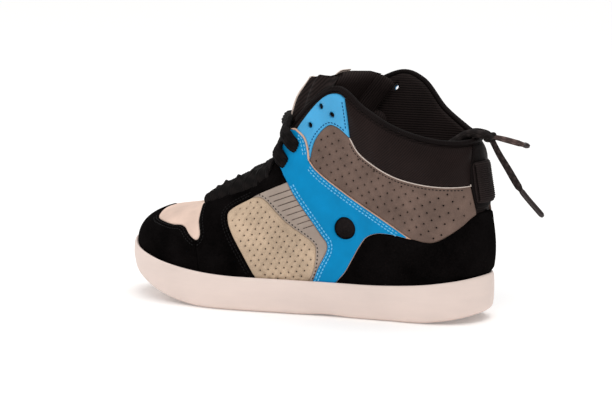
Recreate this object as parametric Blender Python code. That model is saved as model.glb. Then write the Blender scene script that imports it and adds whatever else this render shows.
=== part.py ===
"""High-top skate shoe for the left foot, built from a net of sections.

Frame: +X runs to the toe, +Y to the outer side of the left foot, +Z up. The origin is
on the floor, below the middle of the shoe. Tables are in millimetres.
"""

import bmesh
import bpy
import numpy as np
from mathutils import Matrix

MM = 0.001
SHOE = "high_top_skate_shoe"

# Driving sizes in millimetres
JOINT_GAP = 0.35
UPPER_WALL = 2.2
COLLAR_WALL = 5.0
COLLAR_PUFF = 2.4
TONGUE_FACE_THICK = 1.5
SOLE_FLOOR_THICK = 13.0
INSOLE_THICK = 4.0
TOE_SPRING = 27.0
HEEL_LIFT = 8.0
FLOOR_RISE_TOE = 17.0
FLOOR_RISE_HEEL = 4.5
ARCH_LIFT = 1.2
RIM_HEIGHT = 26.0
RIM_RISE_TOE = 17.0
RIM_RISE_HEEL = 9.7
EYELET_RADIUS = 2.0
LACE_WIDTH = 7.0
LACE_THICK = 2.6
LACE_END_RADIUS = 1.9
WEBBING_WIDTH = 22.0
WEBBING_THICK = 1.6
BINDING_RADIUS = 1.9
INLAY_RADIUS = 8.5
COLUMNS_PER_STATION = 3
ROWS_PER_LEVEL = 2
TONGUE_COLUMNS = 9
EYELET_STEPS = 24

# Plan of the sole: station, x, half width on the outer side, half width on the inner side
SOLE_PLAN = (
    ("heel_back", -150.0, 0.0, 0.0),
    ("heel_corner", -141.0, 24.5, 23.5),
    ("heel_side", -119.0, 36.5, 35.0),
    ("ankle", -83.0, 39.5, 36.5),
    ("waist", -40.0, 43.0, 37.0),
    ("flap_foot", -2.0, 48.0, 42.0),
    ("wing_foot", 24.0, 52.0, 48.0),
    ("ball_back", 48.0, 54.5, 53.0),
    ("ball", 76.0, 53.0, 54.5),
    ("toe_side", 108.0, 45.0, 50.0),
    ("toe_corner", 135.0, 26.5, 37.0),
    ("toe_tip", 150.0, -7.0, 7.0),
)

# Section of the cup sole: ring, inset from the plan, height above the line named
SOLE_SECTION = (
    ("tread_edge", 5.0, "bottom", 0.0),
    ("lower_round", 1.6, "bottom", 1.8),
    ("lower_side", 0.4, "bottom", 6.0),
    ("upper_side", 0.0, "rim", -7.0),
    ("rim_round", 0.6, "rim", -1.4),
    ("rim_top", 1.6, "rim", 0.0),
    ("rim_inner", 3.0, "rim", -0.5),
    ("cup_foot", 3.4, "floor", 0.0),
)
# Grooves across the tread: x, width, half length, depth
TREAD_GROOVES = (
    (-112.0, 4.0, 22.0, 2.2),
    (-98.0, 4.0, 26.0, 2.2),
    (-84.0, 4.0, 26.0, 2.2),
    (32.0, 4.0, 36.0, 2.2),
    (46.0, 4.0, 38.0, 2.2),
)

# Net of the upper: station, then (x, half width, z) at the edge, rim, side, shoulder and top
UPPER_NET = (
    ("heel_back", (-141, 0, 0), (-144.5, 0, 40), (-147, 0, 66), (-141.6, 0, 100), (-138.3, 0, 130.5)),
    ("heel_corner", (-133, 20, 0), (-136, 21.5, 39), (-138, 24, 66), (-133.6, 24, 101), (-130, 25.5, 130.5)),
    ("heel_side", (-114, 30, 0), (-115.5, 31.5, 36), (-117, 33.5, 67), (-116, 35, 104), (-114, 39, 133.5)),
    ("ankle", (-82, 33, 0), (-83, 34.5, 31), (-84, 35.5, 68), (-87, 38, 110), (-90, 44, 141)),
    ("waist", (-39, 36, 0), (-41, 37.5, 28), (-49, 37, 76), (-60, 39, 125), (-66, 46, 154.5)),
    ("flap_foot", (-2, 41, 0), (-4, 42.5, 28), (-13, 40, 74), (-31, 37.5, 124), (-46, 45, 168)),
    ("wing_foot", (23, 45, 0), (22, 46.5, 28), (13, 42.5, 67), (-2, 36.5, 106), (-10, 33, 144.5)),
    ("ball_back", (47, 47.5, 0), (46, 49, 28.5), (40, 46, 58), (28, 37, 84), (13, 28, 108)),
    ("ball", (74, 46.5, 0), (73, 47.8, 30), (69, 45, 51), (60, 35.5, 71), (48, 23.5, 91)),
    ("toe_side", (103, 38.5, 0), (103.5, 40, 34), (100, 37.5, 51), (92, 27.5, 64), (77, 14.5, 75)),
    ("toe_corner", (127, 22, 0), (131, 23, 40), (126, 22, 52.5), (113, 14, 64), (86, 6, 72)),
    ("toe_tip", (140, -6.5, 0), (145, -6.5, 43), (139.5, -6, 54.5), (121, -4, 65), (89, 0, 71.5)),
)
# How far the inner side keeps the sole's own left or right curve at each level
INNER_SHARE = (1.0, 1.0, 0.75, 0.35, 0.0)
# The inner flap stands further open and higher: shift along x, width factor and rise of its top
INNER_FLARE = {
    "heel_side": (0.0, 1.02, 0.5),
    "ankle": (-2.0, 1.06, 6.0),
    "waist": (-5.0, 1.12, 13.0),
    "flap_foot": (-8.0, 1.16, 4.0),
    "wing_foot": (-3.0, 1.10, 1.5),
}
FLARE_SHARE = (0.0, 0.0, 0.0, 0.4, 1.0)


# Borders between the panels in the side view: (x, z), each one shared by its neighbours
BORDERS = {
    "toe_cap_top": ((113, 84), (116.8, 68), (119.9, 64.5), (120.4, 62.4), (119.2, 60.5), (117.2, 59.5),
                    (113.8, 58.9), (103.2, 57.9), (96.1, 57.7), (88, 58.3), (83.5, 57.1), (80.6, 54.9),
                    (76.9, 52.3), (73, 50.2), (70.8, 49.8)),
    "stay_front": ((77, 92), (75.5, 72.8), (73.9, 69.5), (73.1, 66), (72, 62.6), (70, 59), (68.2, 55.6),
                   (67.8, 52.6), (69, 50.3), (70.8, 49.8)),
    "stay_foot": ((70.8, 49.8), (68.9, 41.5), (64.6, 21.4), (61.6, 8)),
    "vamp_front": ((7.3, 8), (19.9, 25.2), (31.9, 44.3), (40.9, 58.6), (45.2, 66.3), (46.4, 70.9),
                   (42.9, 74.9), (26.6, 83.9)),
    "rib_top": ((26.6, 83.9), (18.1, 88.5), (-2.8, 97.9)),
    "rib_front": ((26.6, 83.9), (20.3, 85), (14.6, 83.2), (-2.8, 68.7), (-25.6, 53.2),
                  (-26.8, 49.3), (-25.4, 34.6), (-21.8, 25.6), (-15.1, 8)),
    "wing_top": ((-2.8, 97.9), (1.1, 103.5), (3.3, 107.1), (17.1, 120.1)),
    "wing_front": ((-2.8, 97.9), (-8.6, 89.2), (-19.7, 71.4), (-31.5, 60.4), (-35.6, 54.2),
                   (-35.4, 49.3), (-29.1, 36.7), (-24.2, 25.2), (-17.2, 8)),
    "wing_low": ((-32.5, 8), (-42.8, 25.6), (-50.1, 34.2), (-55.5, 43.6), (-61.8, 54.6),
                 (-66.6, 60.7), (-74.4, 64.3), (-85.4, 64.4), (-102, 62)),
    "wing_back": ((-102, 62), (-77.7, 76.3), (-51.6, 91.6), (-26.3, 108.6), (-20.8, 114.9)),
    "wing_tip": ((-20.8, 114.9), (-19.3, 126.1), (-16.7, 132.1), (-9.1, 137)),
    "tip_arch": ((-20.8, 114.9), (-24.9, 129.1), (-32.2, 138.6), (-39.3, 142.8), (-45.9, 141),
                 (-54.8, 134.2)),
    "tip_rear": ((-54.8, 134.2), (-54.2, 152), (-53.2, 159.8)),
    "tip_front": ((-53.2, 159.8), (-47.3, 163.6), (-41, 164.8), (-36.5, 162.6), (-27.4, 153),
                  (-17.5, 142.6), (-9.1, 137)),
    "quarter_top": ((-54.8, 134.2), (-61.2, 123.4), (-74.7, 113.8), (-90.1, 106.7), (-109.3, 102.6),
                    (-126.4, 100.8), (-165, 100.5)),
    "counter_top": ((-102, 62), (-116.1, 60), (-124.1, 62.8), (-136.2, 71.7), (-145, 81.2),
                    (-165, 82.6)),
}
# Panels: borders in turn ("-" for backwards) or a free corner, thickness, side, colour
PANELS = (
    ("toe_panel", ("toe_cap_top", "-stay_front"), 1.2, "both", (0.78, 0.63, 0.55)),
    ("toe_mudguard", ("-toe_cap_top", (165, 84), (165, 8), "-stay_foot"), 1.5, "both",
     (0.012, 0.011, 0.011)),
    ("lace_stay", ("stay_front", "stay_foot", "vamp_front", "rib_top", "wing_top"), 1.7, "pair",
     (0.014, 0.012, 0.012)),
    ("vamp_panel", ("rib_front", "vamp_front"), 1.2, "pair", (0.5, 0.43, 0.33)),
    ("rib_panel", ("-rib_front", "rib_top", "wing_front"), 1.4, "pair", (0.3, 0.27, 0.24)),
    ("side_wing", ("-wing_top", "wing_front", "wing_low", "wing_back", "wing_tip", (30, 137.4)), 1.9,
     "pair", (0.0, 0.26, 0.6)),
    ("eyestay_tip", ("wing_tip", "-tip_front", "-tip_rear", "-tip_arch"), 1.5, "pair",
     (0.08, 0.42, 0.74)),
    ("quarter_panel", ("tip_arch", "quarter_top", "-counter_top", "wing_back"), 1.2, "heel_pair",
     (0.17, 0.13, 0.11)),
    ("heel_counter", ("-wing_low", (-33, 4), (-165, 4), "-counter_top"), 1.7, "both",
     (0.011, 0.01, 0.01)),
    ("collar", ("tip_rear", (-58, 195), (-165, 195), "-quarter_top"), 1.2, "heel_pair",
     (0.02, 0.017, 0.016)),
)
# Where the open eyelets of the flap and the round inlay of the wing are: (x, z)
EYELETS = ((-32.6, 156.3), (-41.7, 150.8), (-22.2, 141.6))
INLAY_CENTRE = (-49.9, 67.1)
# Sections of the tongue's front face: x, z, half width, edge set back, edge set down, thickness
TONGUE = (
    ("root", 100.0, 58.0, 13.0, 1.0, 3.0, 5.0),
    ("vamp", 77.0, 76.0, 14.5, 4.0, 9.0, 6.0),
    ("instep", 48.0, 95.0, 22.5, 4.5, 10.0, 7.0),
    ("bend", 19.0, 113.0, 26.5, 12.0, 11.0, 8.0),
    ("lower", 13.5, 130.0, 28.0, 23.0, 9.0, 9.0),
    ("middle", 10.5, 146.0, 29.0, 33.0, 4.0, 10.0),
    ("upper", 5.5, 161.0, 33.0, 38.0, 1.0, 10.5),
    ("top", -5.0, 177.0, 37.0, 39.0, -1.0, 10.0),
)
# Lace bars from the toe up: station where the bar crosses the rim, then station and level of its eyelet
LACE_BARS = (
    (8.667, 8.667, 3.76),
    (8.333, 8.333, 3.76),
    (8.0, 8.0, 3.76),
    (7.667, 7.667, 3.76),
    (7.333, 7.333, 3.76),
    (7.0, 6.95, 3.7),
    (6.667, 6.15, 3.25),
    (6.333, 5.875, 3.4),
)
# Free lace: (x, y, z) along each run
LACE_RUNS = {
    "lace_run_lateral": ((-28, 27.5, 128), (-55, 28, 123), (-90, 24, 121), (-118, 14, 128),
                         (-133, 5, 137.5), (-142.6, 3.2, 137.2)),
    "lace_run_medial": ((-30, -29, 130), (-55, -30, 124), (-90, -26, 121), (-118, -15, 128),
                        (-133, -5, 137.5), (-142.6, -3.2, 137.2)),
    "lace_end_upper": ((-153.2, -2.8, 135.2), (-160, -6.5, 134.2), (-169, -11.5, 131.5),
                       (-178.5, -17, 127.6)),
    "lace_end_lower": ((-150.2, -2, 129.9), (-154, -3, 122.5), (-159.5, -5, 113), (-168.8, -9, 96.5),
                       (-184, -15, 77.2)),
}
KNOT_CENTRE = (-148.0, 0.0, 136.0)
KNOT_RADII = (5.0, 6.2, 5.4)
# Section of the pull loop: (x, z), one closed path seen from the side
PULL_LOOP = ((-143, 118.3), (-144, 119.7), (-145, 118.4), (-146.3, 110), (-147.8, 101), (-149, 94),
             (-149.3, 90.8), (-148.4, 88.9), (-147, 89.2), (-146.3, 92), (-144.9, 100), (-143.8, 108.5))


def spline(points, per_span, closed=False):
    """Smooth curve through points, with per_span samples in each span."""
    points = np.asarray(points, float)
    count = len(points)
    spans = count if closed else count - 1
    chord = [np.linalg.norm(points[(i + 1) % count] - points[i]) ** 0.5 + 1e-9 for i in range(spans)]

    def slope(i):
        if not closed and i == 0:
            return (points[1] - points[0]) / chord[0]
        if not closed and i == count - 1:
            return (points[-1] - points[-2]) / chord[-1]
        before, after = chord[i - 1], chord[i % spans]
        back = (points[i % count] - points[i - 1]) / before
        ahead = (points[(i + 1) % count] - points[i % count]) / after
        return (back * after + ahead * before) / (before + after)

    samples = []
    for i in range(spans):
        start, end = points[i], points[(i + 1) % count]
        for t in np.arange(per_span) / per_span:
            h = t * t * (3 - 2 * t)
            rise = t * (1 - t) ** 2 * slope(i) - t * t * (1 - t) * slope(i + 1)
            samples.append(start * (1 - h) + end * h + rise * chord[i])
    if not closed:
        samples.append(points[-1])
    return np.array(samples)


def sole_loop():
    """Closed loop of plan points, along the outer side to the toe and back on the inner side."""
    outer = [(x, wide) for _, x, wide, _ in SOLE_PLAN]
    inner = [(x, -wide) for _, x, _, wide in SOLE_PLAN[-2:0:-1]]
    return outer + inner


def sole_bottom(x):
    """Height of the tread's edge above the floor: toe spring, arch and a small heel lift."""
    toe = TOE_SPRING * np.clip((x - 55) / 95, 0, 1) ** 2
    heel = HEEL_LIFT * np.clip((-x - 95) / 55, 0, 1) ** 2
    arch = ARCH_LIFT * np.sin(np.pi * np.clip((x + 60) / 50, 0, 1)) ** 2
    return toe + heel + arch


def sole_rim(x):
    """Height of the cup's rim above the floor."""
    toe = RIM_RISE_TOE * np.clip((x - 30) / 120, 0, 1) ** 2
    heel = RIM_RISE_HEEL * np.clip((-x - 60) / 90, 0, 1) ** 2
    return RIM_HEIGHT + toe + heel


def cup_floor(x):
    """Height of the floor inside the cup; it rises less than the tread at the toe and heel."""
    toe = FLOOR_RISE_TOE * np.clip((x - 55) / 95, 0, 1) ** 2
    heel = FLOOR_RISE_HEEL * np.clip((-x - 95) / 55, 0, 1) ** 2
    arch = ARCH_LIFT * np.sin(np.pi * np.clip((x + 60) / 50, 0, 1)) ** 2
    return SOLE_FLOOR_THICK + toe + heel + arch


def net_loops():
    """One closed loop of points for each level of the upper."""
    stations = [row[0] for row in SOLE_PLAN]
    inner_ratio = [1.0] + [inner / outer for _, _, outer, inner in SOLE_PLAN[1:-1]] + [1.0]
    loops = []
    for level, (share, flare) in enumerate(zip(INNER_SHARE, FLARE_SHARE)):
        outer = [row[1 + level] for row in UPPER_NET]
        inner = []
        for i in range(len(outer) - 2, 0, -1):
            x, half, z = outer[i]
            shift, factor, rise = INNER_FLARE.get(stations[i], (0.0, 1.0, 0.0))
            wide = half * (1 + (inner_ratio[i] - 1) * share) * (1 + (factor - 1) * flare)
            inner.append((x + shift * flare, -wide, z + rise * flare))
        loops.append(outer + inner)
    return loops


def upper_grid(per_station=COLUMNS_PER_STATION, per_level=ROWS_PER_LEVEL):
    """Points of the upper's outer face as rows by columns, and their outward normals."""
    rings = np.array([spline(loop, per_station, closed=True) for loop in net_loops()])
    rings[0, :, 2] = cup_floor(rings[0, :, 0]) + JOINT_GAP + 0.4
    columns = [spline(rings[:, i], per_level) for i in range(rings.shape[1])]
    grid = np.array(columns).transpose(1, 0, 2)
    along = np.roll(grid, -1, 1) - np.roll(grid, 1, 1)
    up = np.gradient(grid, axis=0)
    normals = np.cross(up, along)
    normals /= np.linalg.norm(normals, axis=2)[..., None]
    return grid, normals


def tongue_grid(per_level=ROWS_PER_LEVEL):
    """Points of the tongue's front face as rows by columns, normals and thickness by row."""
    rows = spline([row[1:] for row in TONGUE], per_level)
    across = np.linspace(-1, 1, TONGUE_COLUMNS)
    grid = np.array([[(x - back * s * s, half * s, z - drop * s * s) for s in across]
                     for x, z, half, back, drop, _ in rows])
    up = np.gradient(grid, axis=0)
    along = np.gradient(grid, axis=1)
    normals = np.cross(along, up)
    normals /= np.linalg.norm(normals, axis=2)[..., None]
    return grid, normals, rows[:, 5]


def border_line(name):
    points = spline(BORDERS[name.lstrip("-")], 2)
    return points[::-1] if name.startswith("-") else points


def panel_outline(pieces):
    """Closed outline of a panel in the side view, set in by half the joint gap."""
    points = []
    for piece in pieces:
        points += list(border_line(piece)) if isinstance(piece, str) else [np.array(piece, float)]
    kept = [p for i, p in enumerate(points) if np.linalg.norm(p - points[i - 1]) > 0.05]
    loop = np.array(kept)
    before, after = loop - np.roll(loop, 1, 0), np.roll(loop, -1, 0) - loop
    before /= np.linalg.norm(before, axis=1)[:, None]
    after /= np.linalg.norm(after, axis=1)[:, None]
    area = np.sum(loop[:, 0] * np.roll(loop[:, 1], -1) - loop[:, 1] * np.roll(loop[:, 0], -1))
    turn = np.sign(area)
    middle = before + after
    middle /= np.linalg.norm(middle, axis=1)[:, None] + 1e-9
    inward = np.stack((-middle[:, 1], middle[:, 0]), 1) * turn
    side = np.stack((-before[:, 1], before[:, 0]), 1) * turn
    reach = np.clip(np.sum(inward * side, axis=1), 0.35, 1)
    return loop + inward * (JOINT_GAP / 2 / reach)[:, None]


def inner_side(points):
    """Side-view points moved back and up with the inner flap."""
    points = np.array(points, float)
    share = np.clip((points[:, 1:] - 112) / 56, 0, 1)
    return points + share * (-8.0, 4.0)


def collection(name):
    group = bpy.data.collections.new(name)
    bpy.context.scene.collection.children.link(group)
    return group


def material(name, colour, roughness):
    shade = bpy.data.materials.new(name)
    shade.use_nodes = True
    node = shade.node_tree.nodes["Principled BSDF"]
    node.inputs["Base Color"].default_value = (*colour, 1.0)
    node.inputs["Roughness"].default_value = roughness
    return shade


def add_object(name, points, faces, group, colour=(0.02, 0.02, 0.02), roughness=0.8):
    mesh = bpy.data.meshes.new(name)
    mesh.from_pydata([tuple(p * MM) for p in np.asarray(points, float).reshape(-1, 3)], [], faces)
    body = bmesh.new()
    body.from_mesh(mesh)
    bmesh.ops.recalc_face_normals(body, faces=body.faces)
    body.to_mesh(mesh)
    body.free()
    item = bpy.data.objects.new(name, mesh)
    group.objects.link(item)
    if group is PARTS:
        mesh.materials.append(material(name + "_material", colour, roughness))
    else:
        item.hide_render = True
        item.display_type = "WIRE"
    return item


def add_primitive(name, body, group, colour=(0.02, 0.02, 0.02)):
    """Object from a bmesh primitive that is already placed in metres."""
    mesh = bpy.data.meshes.new(name)
    body.to_mesh(mesh)
    body.free()
    item = bpy.data.objects.new(name, mesh)
    group.objects.link(item)
    if group is PARTS:
        mesh.materials.append(material(name + "_material", colour, 0.8))
    else:
        item.hide_render = True
        item.display_type = "WIRE"
    return item


def box(name, low, high):
    """Cutter: a plain box between two corners."""
    low, high = np.array(low) * MM, np.array(high) * MM
    body = bmesh.new()
    place = Matrix.Translation((low + high) / 2) @ Matrix.Diagonal((*(high - low), 1))
    bmesh.ops.create_cube(body, size=1.0, matrix=place)
    return add_primitive(name, body, CUTTERS)


def cylinder(name, centre, radius, count, low, high):
    """Cutter: a round bar along y, through a side-view point."""
    body = bmesh.new()
    place = Matrix.Translation((centre[0] * MM, (low + high) / 2 * MM, centre[1] * MM))
    turned = place @ Matrix.Rotation(np.pi / 2, 4, "X")
    bmesh.ops.create_cone(body, cap_ends=True, segments=count, radius1=radius * MM, radius2=radius * MM,
                          depth=(high - low) * MM, matrix=turned)
    return add_primitive(name, body, CUTTERS)


def slab(name, front, back, around, group, colour, roughness=0.8):
    """Closed solid between two grids of points; around says the columns form a ring."""
    rows, columns = front.shape[:2]
    size = rows * columns
    spans = columns if around else columns - 1

    def at(layer, r, c):
        return layer * size + r * columns + c % columns

    faces = []
    for r in range(rows - 1):
        for c in range(spans):
            for layer in (0, 1):
                low, high = at(layer, r, c), at(layer, r + 1, c + 1)
                faces.append((low, at(layer, r + 1, c), high))
                faces.append((low, high, at(layer, r, c + 1)))
    for c in range(spans):
        for r in (0, rows - 1):
            faces.append((at(0, r, c), at(0, r, c + 1), at(1, r, c + 1), at(1, r, c)))
    if not around:
        for r in range(rows - 1):
            for c in (0, columns - 1):
                faces.append((at(0, r, c), at(0, r + 1, c), at(1, r + 1, c), at(1, r, c)))
    points = np.concatenate((front.reshape(-1, 3), back.reshape(-1, 3)))
    return add_object(name, points, faces, group, colour, roughness)


def loft(name, rings, group, colour=(0.02, 0.02, 0.02), roughness=0.8, round_trip=False):
    """Closed solid through rings of points; open ends are capped, or the last meets the first."""
    rings = np.asarray(rings, float)
    count, size = rings.shape[:2]
    faces = []
    for k in range(count if round_trip else count - 1):
        low, high = k * size, (k + 1) % count * size
        for i in range(size):
            j = (i + 1) % size
            faces.append((low + i, low + j, high + j, high + i))
    if not round_trip:
        faces.append(tuple(range(size)))
        faces.append(tuple((count - 1) * size + i for i in range(size)))
    return add_object(name, rings, faces, group, colour, roughness)


def cap_strip(first, size):
    """Faces across a ring that is laid out along one side and back on the other."""
    faces = [(first, first + 1, first + size - 1)]
    for i in range(1, size // 2 - 1):
        faces.append((first + i, first + i + 1, first + size - i - 1, first + size - i))
    last = size // 2
    faces.append((first + last - 1, first + last, first + last + 1))
    return faces


def ring_solid(name, rings, group, colour=(0.02, 0.02, 0.02), roughness=0.8):
    """Closed solid through plan rings, its first and last ring covered across."""
    rings = np.asarray(rings, float)
    count, size = rings.shape[:2]
    faces = cap_strip(0, size) + cap_strip((count - 1) * size, size)
    for k in range(count - 1):
        for i in range(size):
            j = (i + 1) % size
            faces.append((k * size + i, k * size + j, (k + 1) * size + j, (k + 1) * size + i))
    return add_object(name, rings, faces, group, colour, roughness)


def prism(name, outline, low, high):
    """Cutter: a side-view outline carried along y."""
    near = [(x, low, z) for x, z in outline]
    far = [(x, high, z) for x, z in outline]
    return loft(name, (near, far), CUTTERS)


def cut(item, cutter, operation):
    step = item.modifiers.new(cutter.name, "BOOLEAN")
    step.object = cutter
    step.operation = operation
    step.solver = "EXACT"


def tube(name, points, radius, colour, resolution=2):
    curve = bpy.data.curves.new(name, "CURVE")
    curve.dimensions = "3D"
    curve.bevel_depth = radius * MM
    curve.bevel_resolution = resolution
    curve.use_fill_caps = True
    line = curve.splines.new("POLY")
    line.points.add(len(points) - 1)
    for dot, p in zip(line.points, points):
        dot.co = (p[0] * MM, p[1] * MM, p[2] * MM, 1.0)
    item = bpy.data.objects.new(name, curve)
    PARTS.objects.link(item)
    curve.materials.append(material(name + "_material", colour, 0.8))
    return item


def plan_inset(loop, inset):
    """Plan loop moved inwards."""
    along = np.roll(loop, -1, 0) - np.roll(loop, 1, 0)
    along /= np.linalg.norm(along, axis=1)[:, None]
    return loop + np.stack((along[:, 1], -along[:, 0]), 1) * inset


def plan_ring(loop, inset, height):
    """Ring of points at a height that depends on x."""
    plan = plan_inset(loop, inset)
    return np.column_stack((plan, height(plan[:, 0])))


def make_sole():
    loop = spline(sole_loop(), COLUMNS_PER_STATION, closed=True)
    lines = {"bottom": sole_bottom, "rim": sole_rim, "floor": cup_floor}
    rings = [plan_ring(loop, inset, lambda x, line=line, up=up: lines[line](x) + up)
             for _, inset, line, up in SOLE_SECTION]
    sole = ring_solid("cupsole", rings, PARTS, (0.8, 0.7, 0.64), 0.55)
    for number, (x, wide, half, deep) in enumerate(TREAD_GROOVES, 1):
        groove = box(f"tread_groove_{number}", (x - wide / 2, -half, -3), (x + wide / 2, half, deep))
        cut(sole, groove, "DIFFERENCE")
    envelope = [plan_ring(loop, -4, lambda x: 0 * x - 9),
                plan_ring(loop, -4, lambda x: sole_rim(x) + JOINT_GAP)]
    return ring_solid("sole_envelope", envelope, CUTTERS)


def make_insole(grid, normals):
    edge = grid[0, :, :2] - normals[0, :, :2] * (UPPER_WALL + 0.6)
    base = JOINT_GAP + 0.05
    rings = [plan_ring(edge, inset, lambda x, up=up: cup_floor(x) + up)
             for inset, up in ((0.4, base), (0, base + 1), (0, base + INSOLE_THICK - 1),
                               (1, base + INSOLE_THICK))]
    ring_solid("insole", rings, PARTS, (0.03, 0.03, 0.032))


def make_upper(grid, normals):
    rows = np.arange(len(grid)) / ROWS_PER_LEVEL
    collar = np.clip((rows - 2.6) / 1.2, 0, 1)[:, None]
    station = np.arange(grid.shape[1]) / COLUMNS_PER_STATION
    ankle = np.clip(5.8 - np.minimum(station, len(SOLE_PLAN) * 2 - 2 - station), 0, 1)[None, :]
    wall = UPPER_WALL + (COLLAR_WALL - UPPER_WALL) * collar * ankle
    inner = grid - normals * wall[..., None]
    return slab("upper", grid, inner, True, PARTS, (0.018, 0.016, 0.016))


def make_panels(grid, normals, envelope):
    """Cut every overlay from the upper's own surface with its side-view outline."""
    columns = grid.shape[1]
    rows = np.arange(len(grid)) / ROWS_PER_LEVEL
    puff = COLLAR_PUFF * np.sin(np.pi * np.clip((rows - 2.9) / 1.1, 0, 1))
    made = {}
    for name, pieces, thick, side, colour in PANELS:
        outline = panel_outline(pieces)
        nearest = WEBBING_WIDTH / 2 + JOINT_GAP if side == "heel_pair" else -JOINT_GAP
        halves = (("_lateral", outline, nearest, 90), ("_medial", inner_side(outline), -90, -nearest))
        if side == "both":
            halves = (("", outline, -90, 90),)
        first = 1
        for ending, line, low, high in halves:
            lift = normals[first:] * JOINT_GAP
            extra = puff if name == "collar" else 0 * puff
            front = grid[first:] + lift + normals[first:] * (thick + extra[first:])[:, None, None]
            item = slab(name + ending, front, grid[first:] + lift, True, PARTS, colour)
            cut(item, prism(name + ending + "_outline", line, low, high), "INTERSECT")
            cut(item, envelope, "DIFFERENCE")
            made[name + ending] = item
    return made


def make_holes(made, upper):
    """Open eyelets of both flaps, and the inlay of both wings."""
    for ending, low, high in (("lateral", 8, 90), ("medial", -90, -8)):
        side = np.array if ending == "lateral" else inner_side
        for number, centre in enumerate(side([*EYELETS]), 1):
            name = f"eyelet_{ending}_{number}"
            cutter = cylinder(name, centre, EYELET_RADIUS, 10, low, high)
            cut(made["eyestay_tip_" + ending], cutter, "DIFFERENCE")
            cut(upper, cutter, "DIFFERENCE")
        hole = cylinder(f"inlay_hole_{ending}", INLAY_CENTRE, INLAY_RADIUS, 20, low, high)
        cut(made["side_wing_" + ending], hole, "DIFFERENCE")


def make_inlays(grid, normals):
    for ending, low, high in (("lateral", 8, 90), ("medial", -90, -8)):
        front, back = grid + normals * (JOINT_GAP + 1.2), grid + normals * JOINT_GAP
        item = slab("round_inlay_" + ending, front, back, True, PARTS, (0.01, 0.01, 0.01), 0.5)
        disc = cylinder(f"inlay_outline_{ending}", INLAY_CENTRE, INLAY_RADIUS - JOINT_GAP, 20, low, high)
        cut(item, disc, "INTERSECT")


def make_backstay(grid, normals):
    """Webbing strip up the back of the heel and its pull loop."""
    front, back = grid + normals * (JOINT_GAP + WEBBING_THICK), grid + normals * JOINT_GAP
    item = slab("backstay", front, back, True, PARTS, (0.012, 0.011, 0.011))
    half = WEBBING_WIDTH / 2
    outline = ((-165, 83.2), (-100, 83.2), (-100, 200), (-165, 200))
    cut(item, prism("backstay_outline", outline, -half, half), "INTERSECT")
    path = spline(PULL_LOOP, 2, closed=True)
    along = np.roll(path, -1, 0) - np.roll(path, 1, 0)
    along /= np.linalg.norm(along, axis=1)[:, None]
    out = np.stack((along[:, 1], -along[:, 0]), 1) * WEBBING_THICK / 2
    rings = [[(p[0] + o[0], -half, p[1] + o[1]), (p[0] + o[0], half, p[1] + o[1]),
              (p[0] - o[0], half, p[1] - o[1]), (p[0] - o[0], -half, p[1] - o[1])]
             for p, o in zip(path, out)]
    loft("pull_loop", rings, PARTS, (0.012, 0.011, 0.011), round_trip=True)


def make_tongue():
    grid, normals, thick = tongue_grid()
    across = np.linspace(-1, 1, TONGUE_COLUMNS)
    depth = thick[:, None] * (1 - 0.45 * across[None, :] ** 4)
    depth[-1] *= 0.6
    slab("tongue", grid, grid - normals * depth[..., None], False, PARTS, (0.02, 0.018, 0.018))
    face = grid[ROWS_PER_LEVEL:], normals[ROWS_PER_LEVEL:]
    slab("tongue_face", face[0] + face[1] * (JOINT_GAP + TONGUE_FACE_THICK),
         face[0] + face[1] * JOINT_GAP, False, PARTS, (0.6, 0.55, 0.5))


def make_binding(grid, normals):
    """Rolled rim along the top of the collar, from one flap round the heel to the other."""
    last = round(6.0 * COLUMNS_PER_STATION)
    order = np.arange(-last, last + 1) % grid.shape[1]
    line = grid[-1, order] - normals[-1, order] * UPPER_WALL * 0.5
    along = np.gradient(line, axis=0)
    along /= np.linalg.norm(along, axis=1)[:, None]
    away = np.array((0.0, 0.0, 1.0)) - along * along[:, 2:]
    away /= np.linalg.norm(away, axis=1)[:, None]
    line = line + away * (BINDING_RADIUS + JOINT_GAP + 0.5)
    tube("collar_binding", line, BINDING_RADIUS, (0.012, 0.011, 0.011), 1)


def sweep(name, path, width_along, wide, thick, colour):
    """Flat cord along a path: width_along is the way its width lies."""
    path = np.asarray(path)
    along = np.gradient(path, axis=0)
    along /= np.linalg.norm(along, axis=1)[:, None]
    rings = []
    for p, d in zip(path, along):
        w = width_along - d * np.dot(width_along, d)
        w /= np.linalg.norm(w)
        n = np.cross(d, w)
        rings.append([p + w * a * wide / 2 + n * b * thick / 2
                      for a, b in ((1, 0), (0.7, 1), (-0.7, 1), (-1, 0), (-0.7, -1), (0.7, -1))])
    return loft(name, rings, PARTS, colour)


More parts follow.
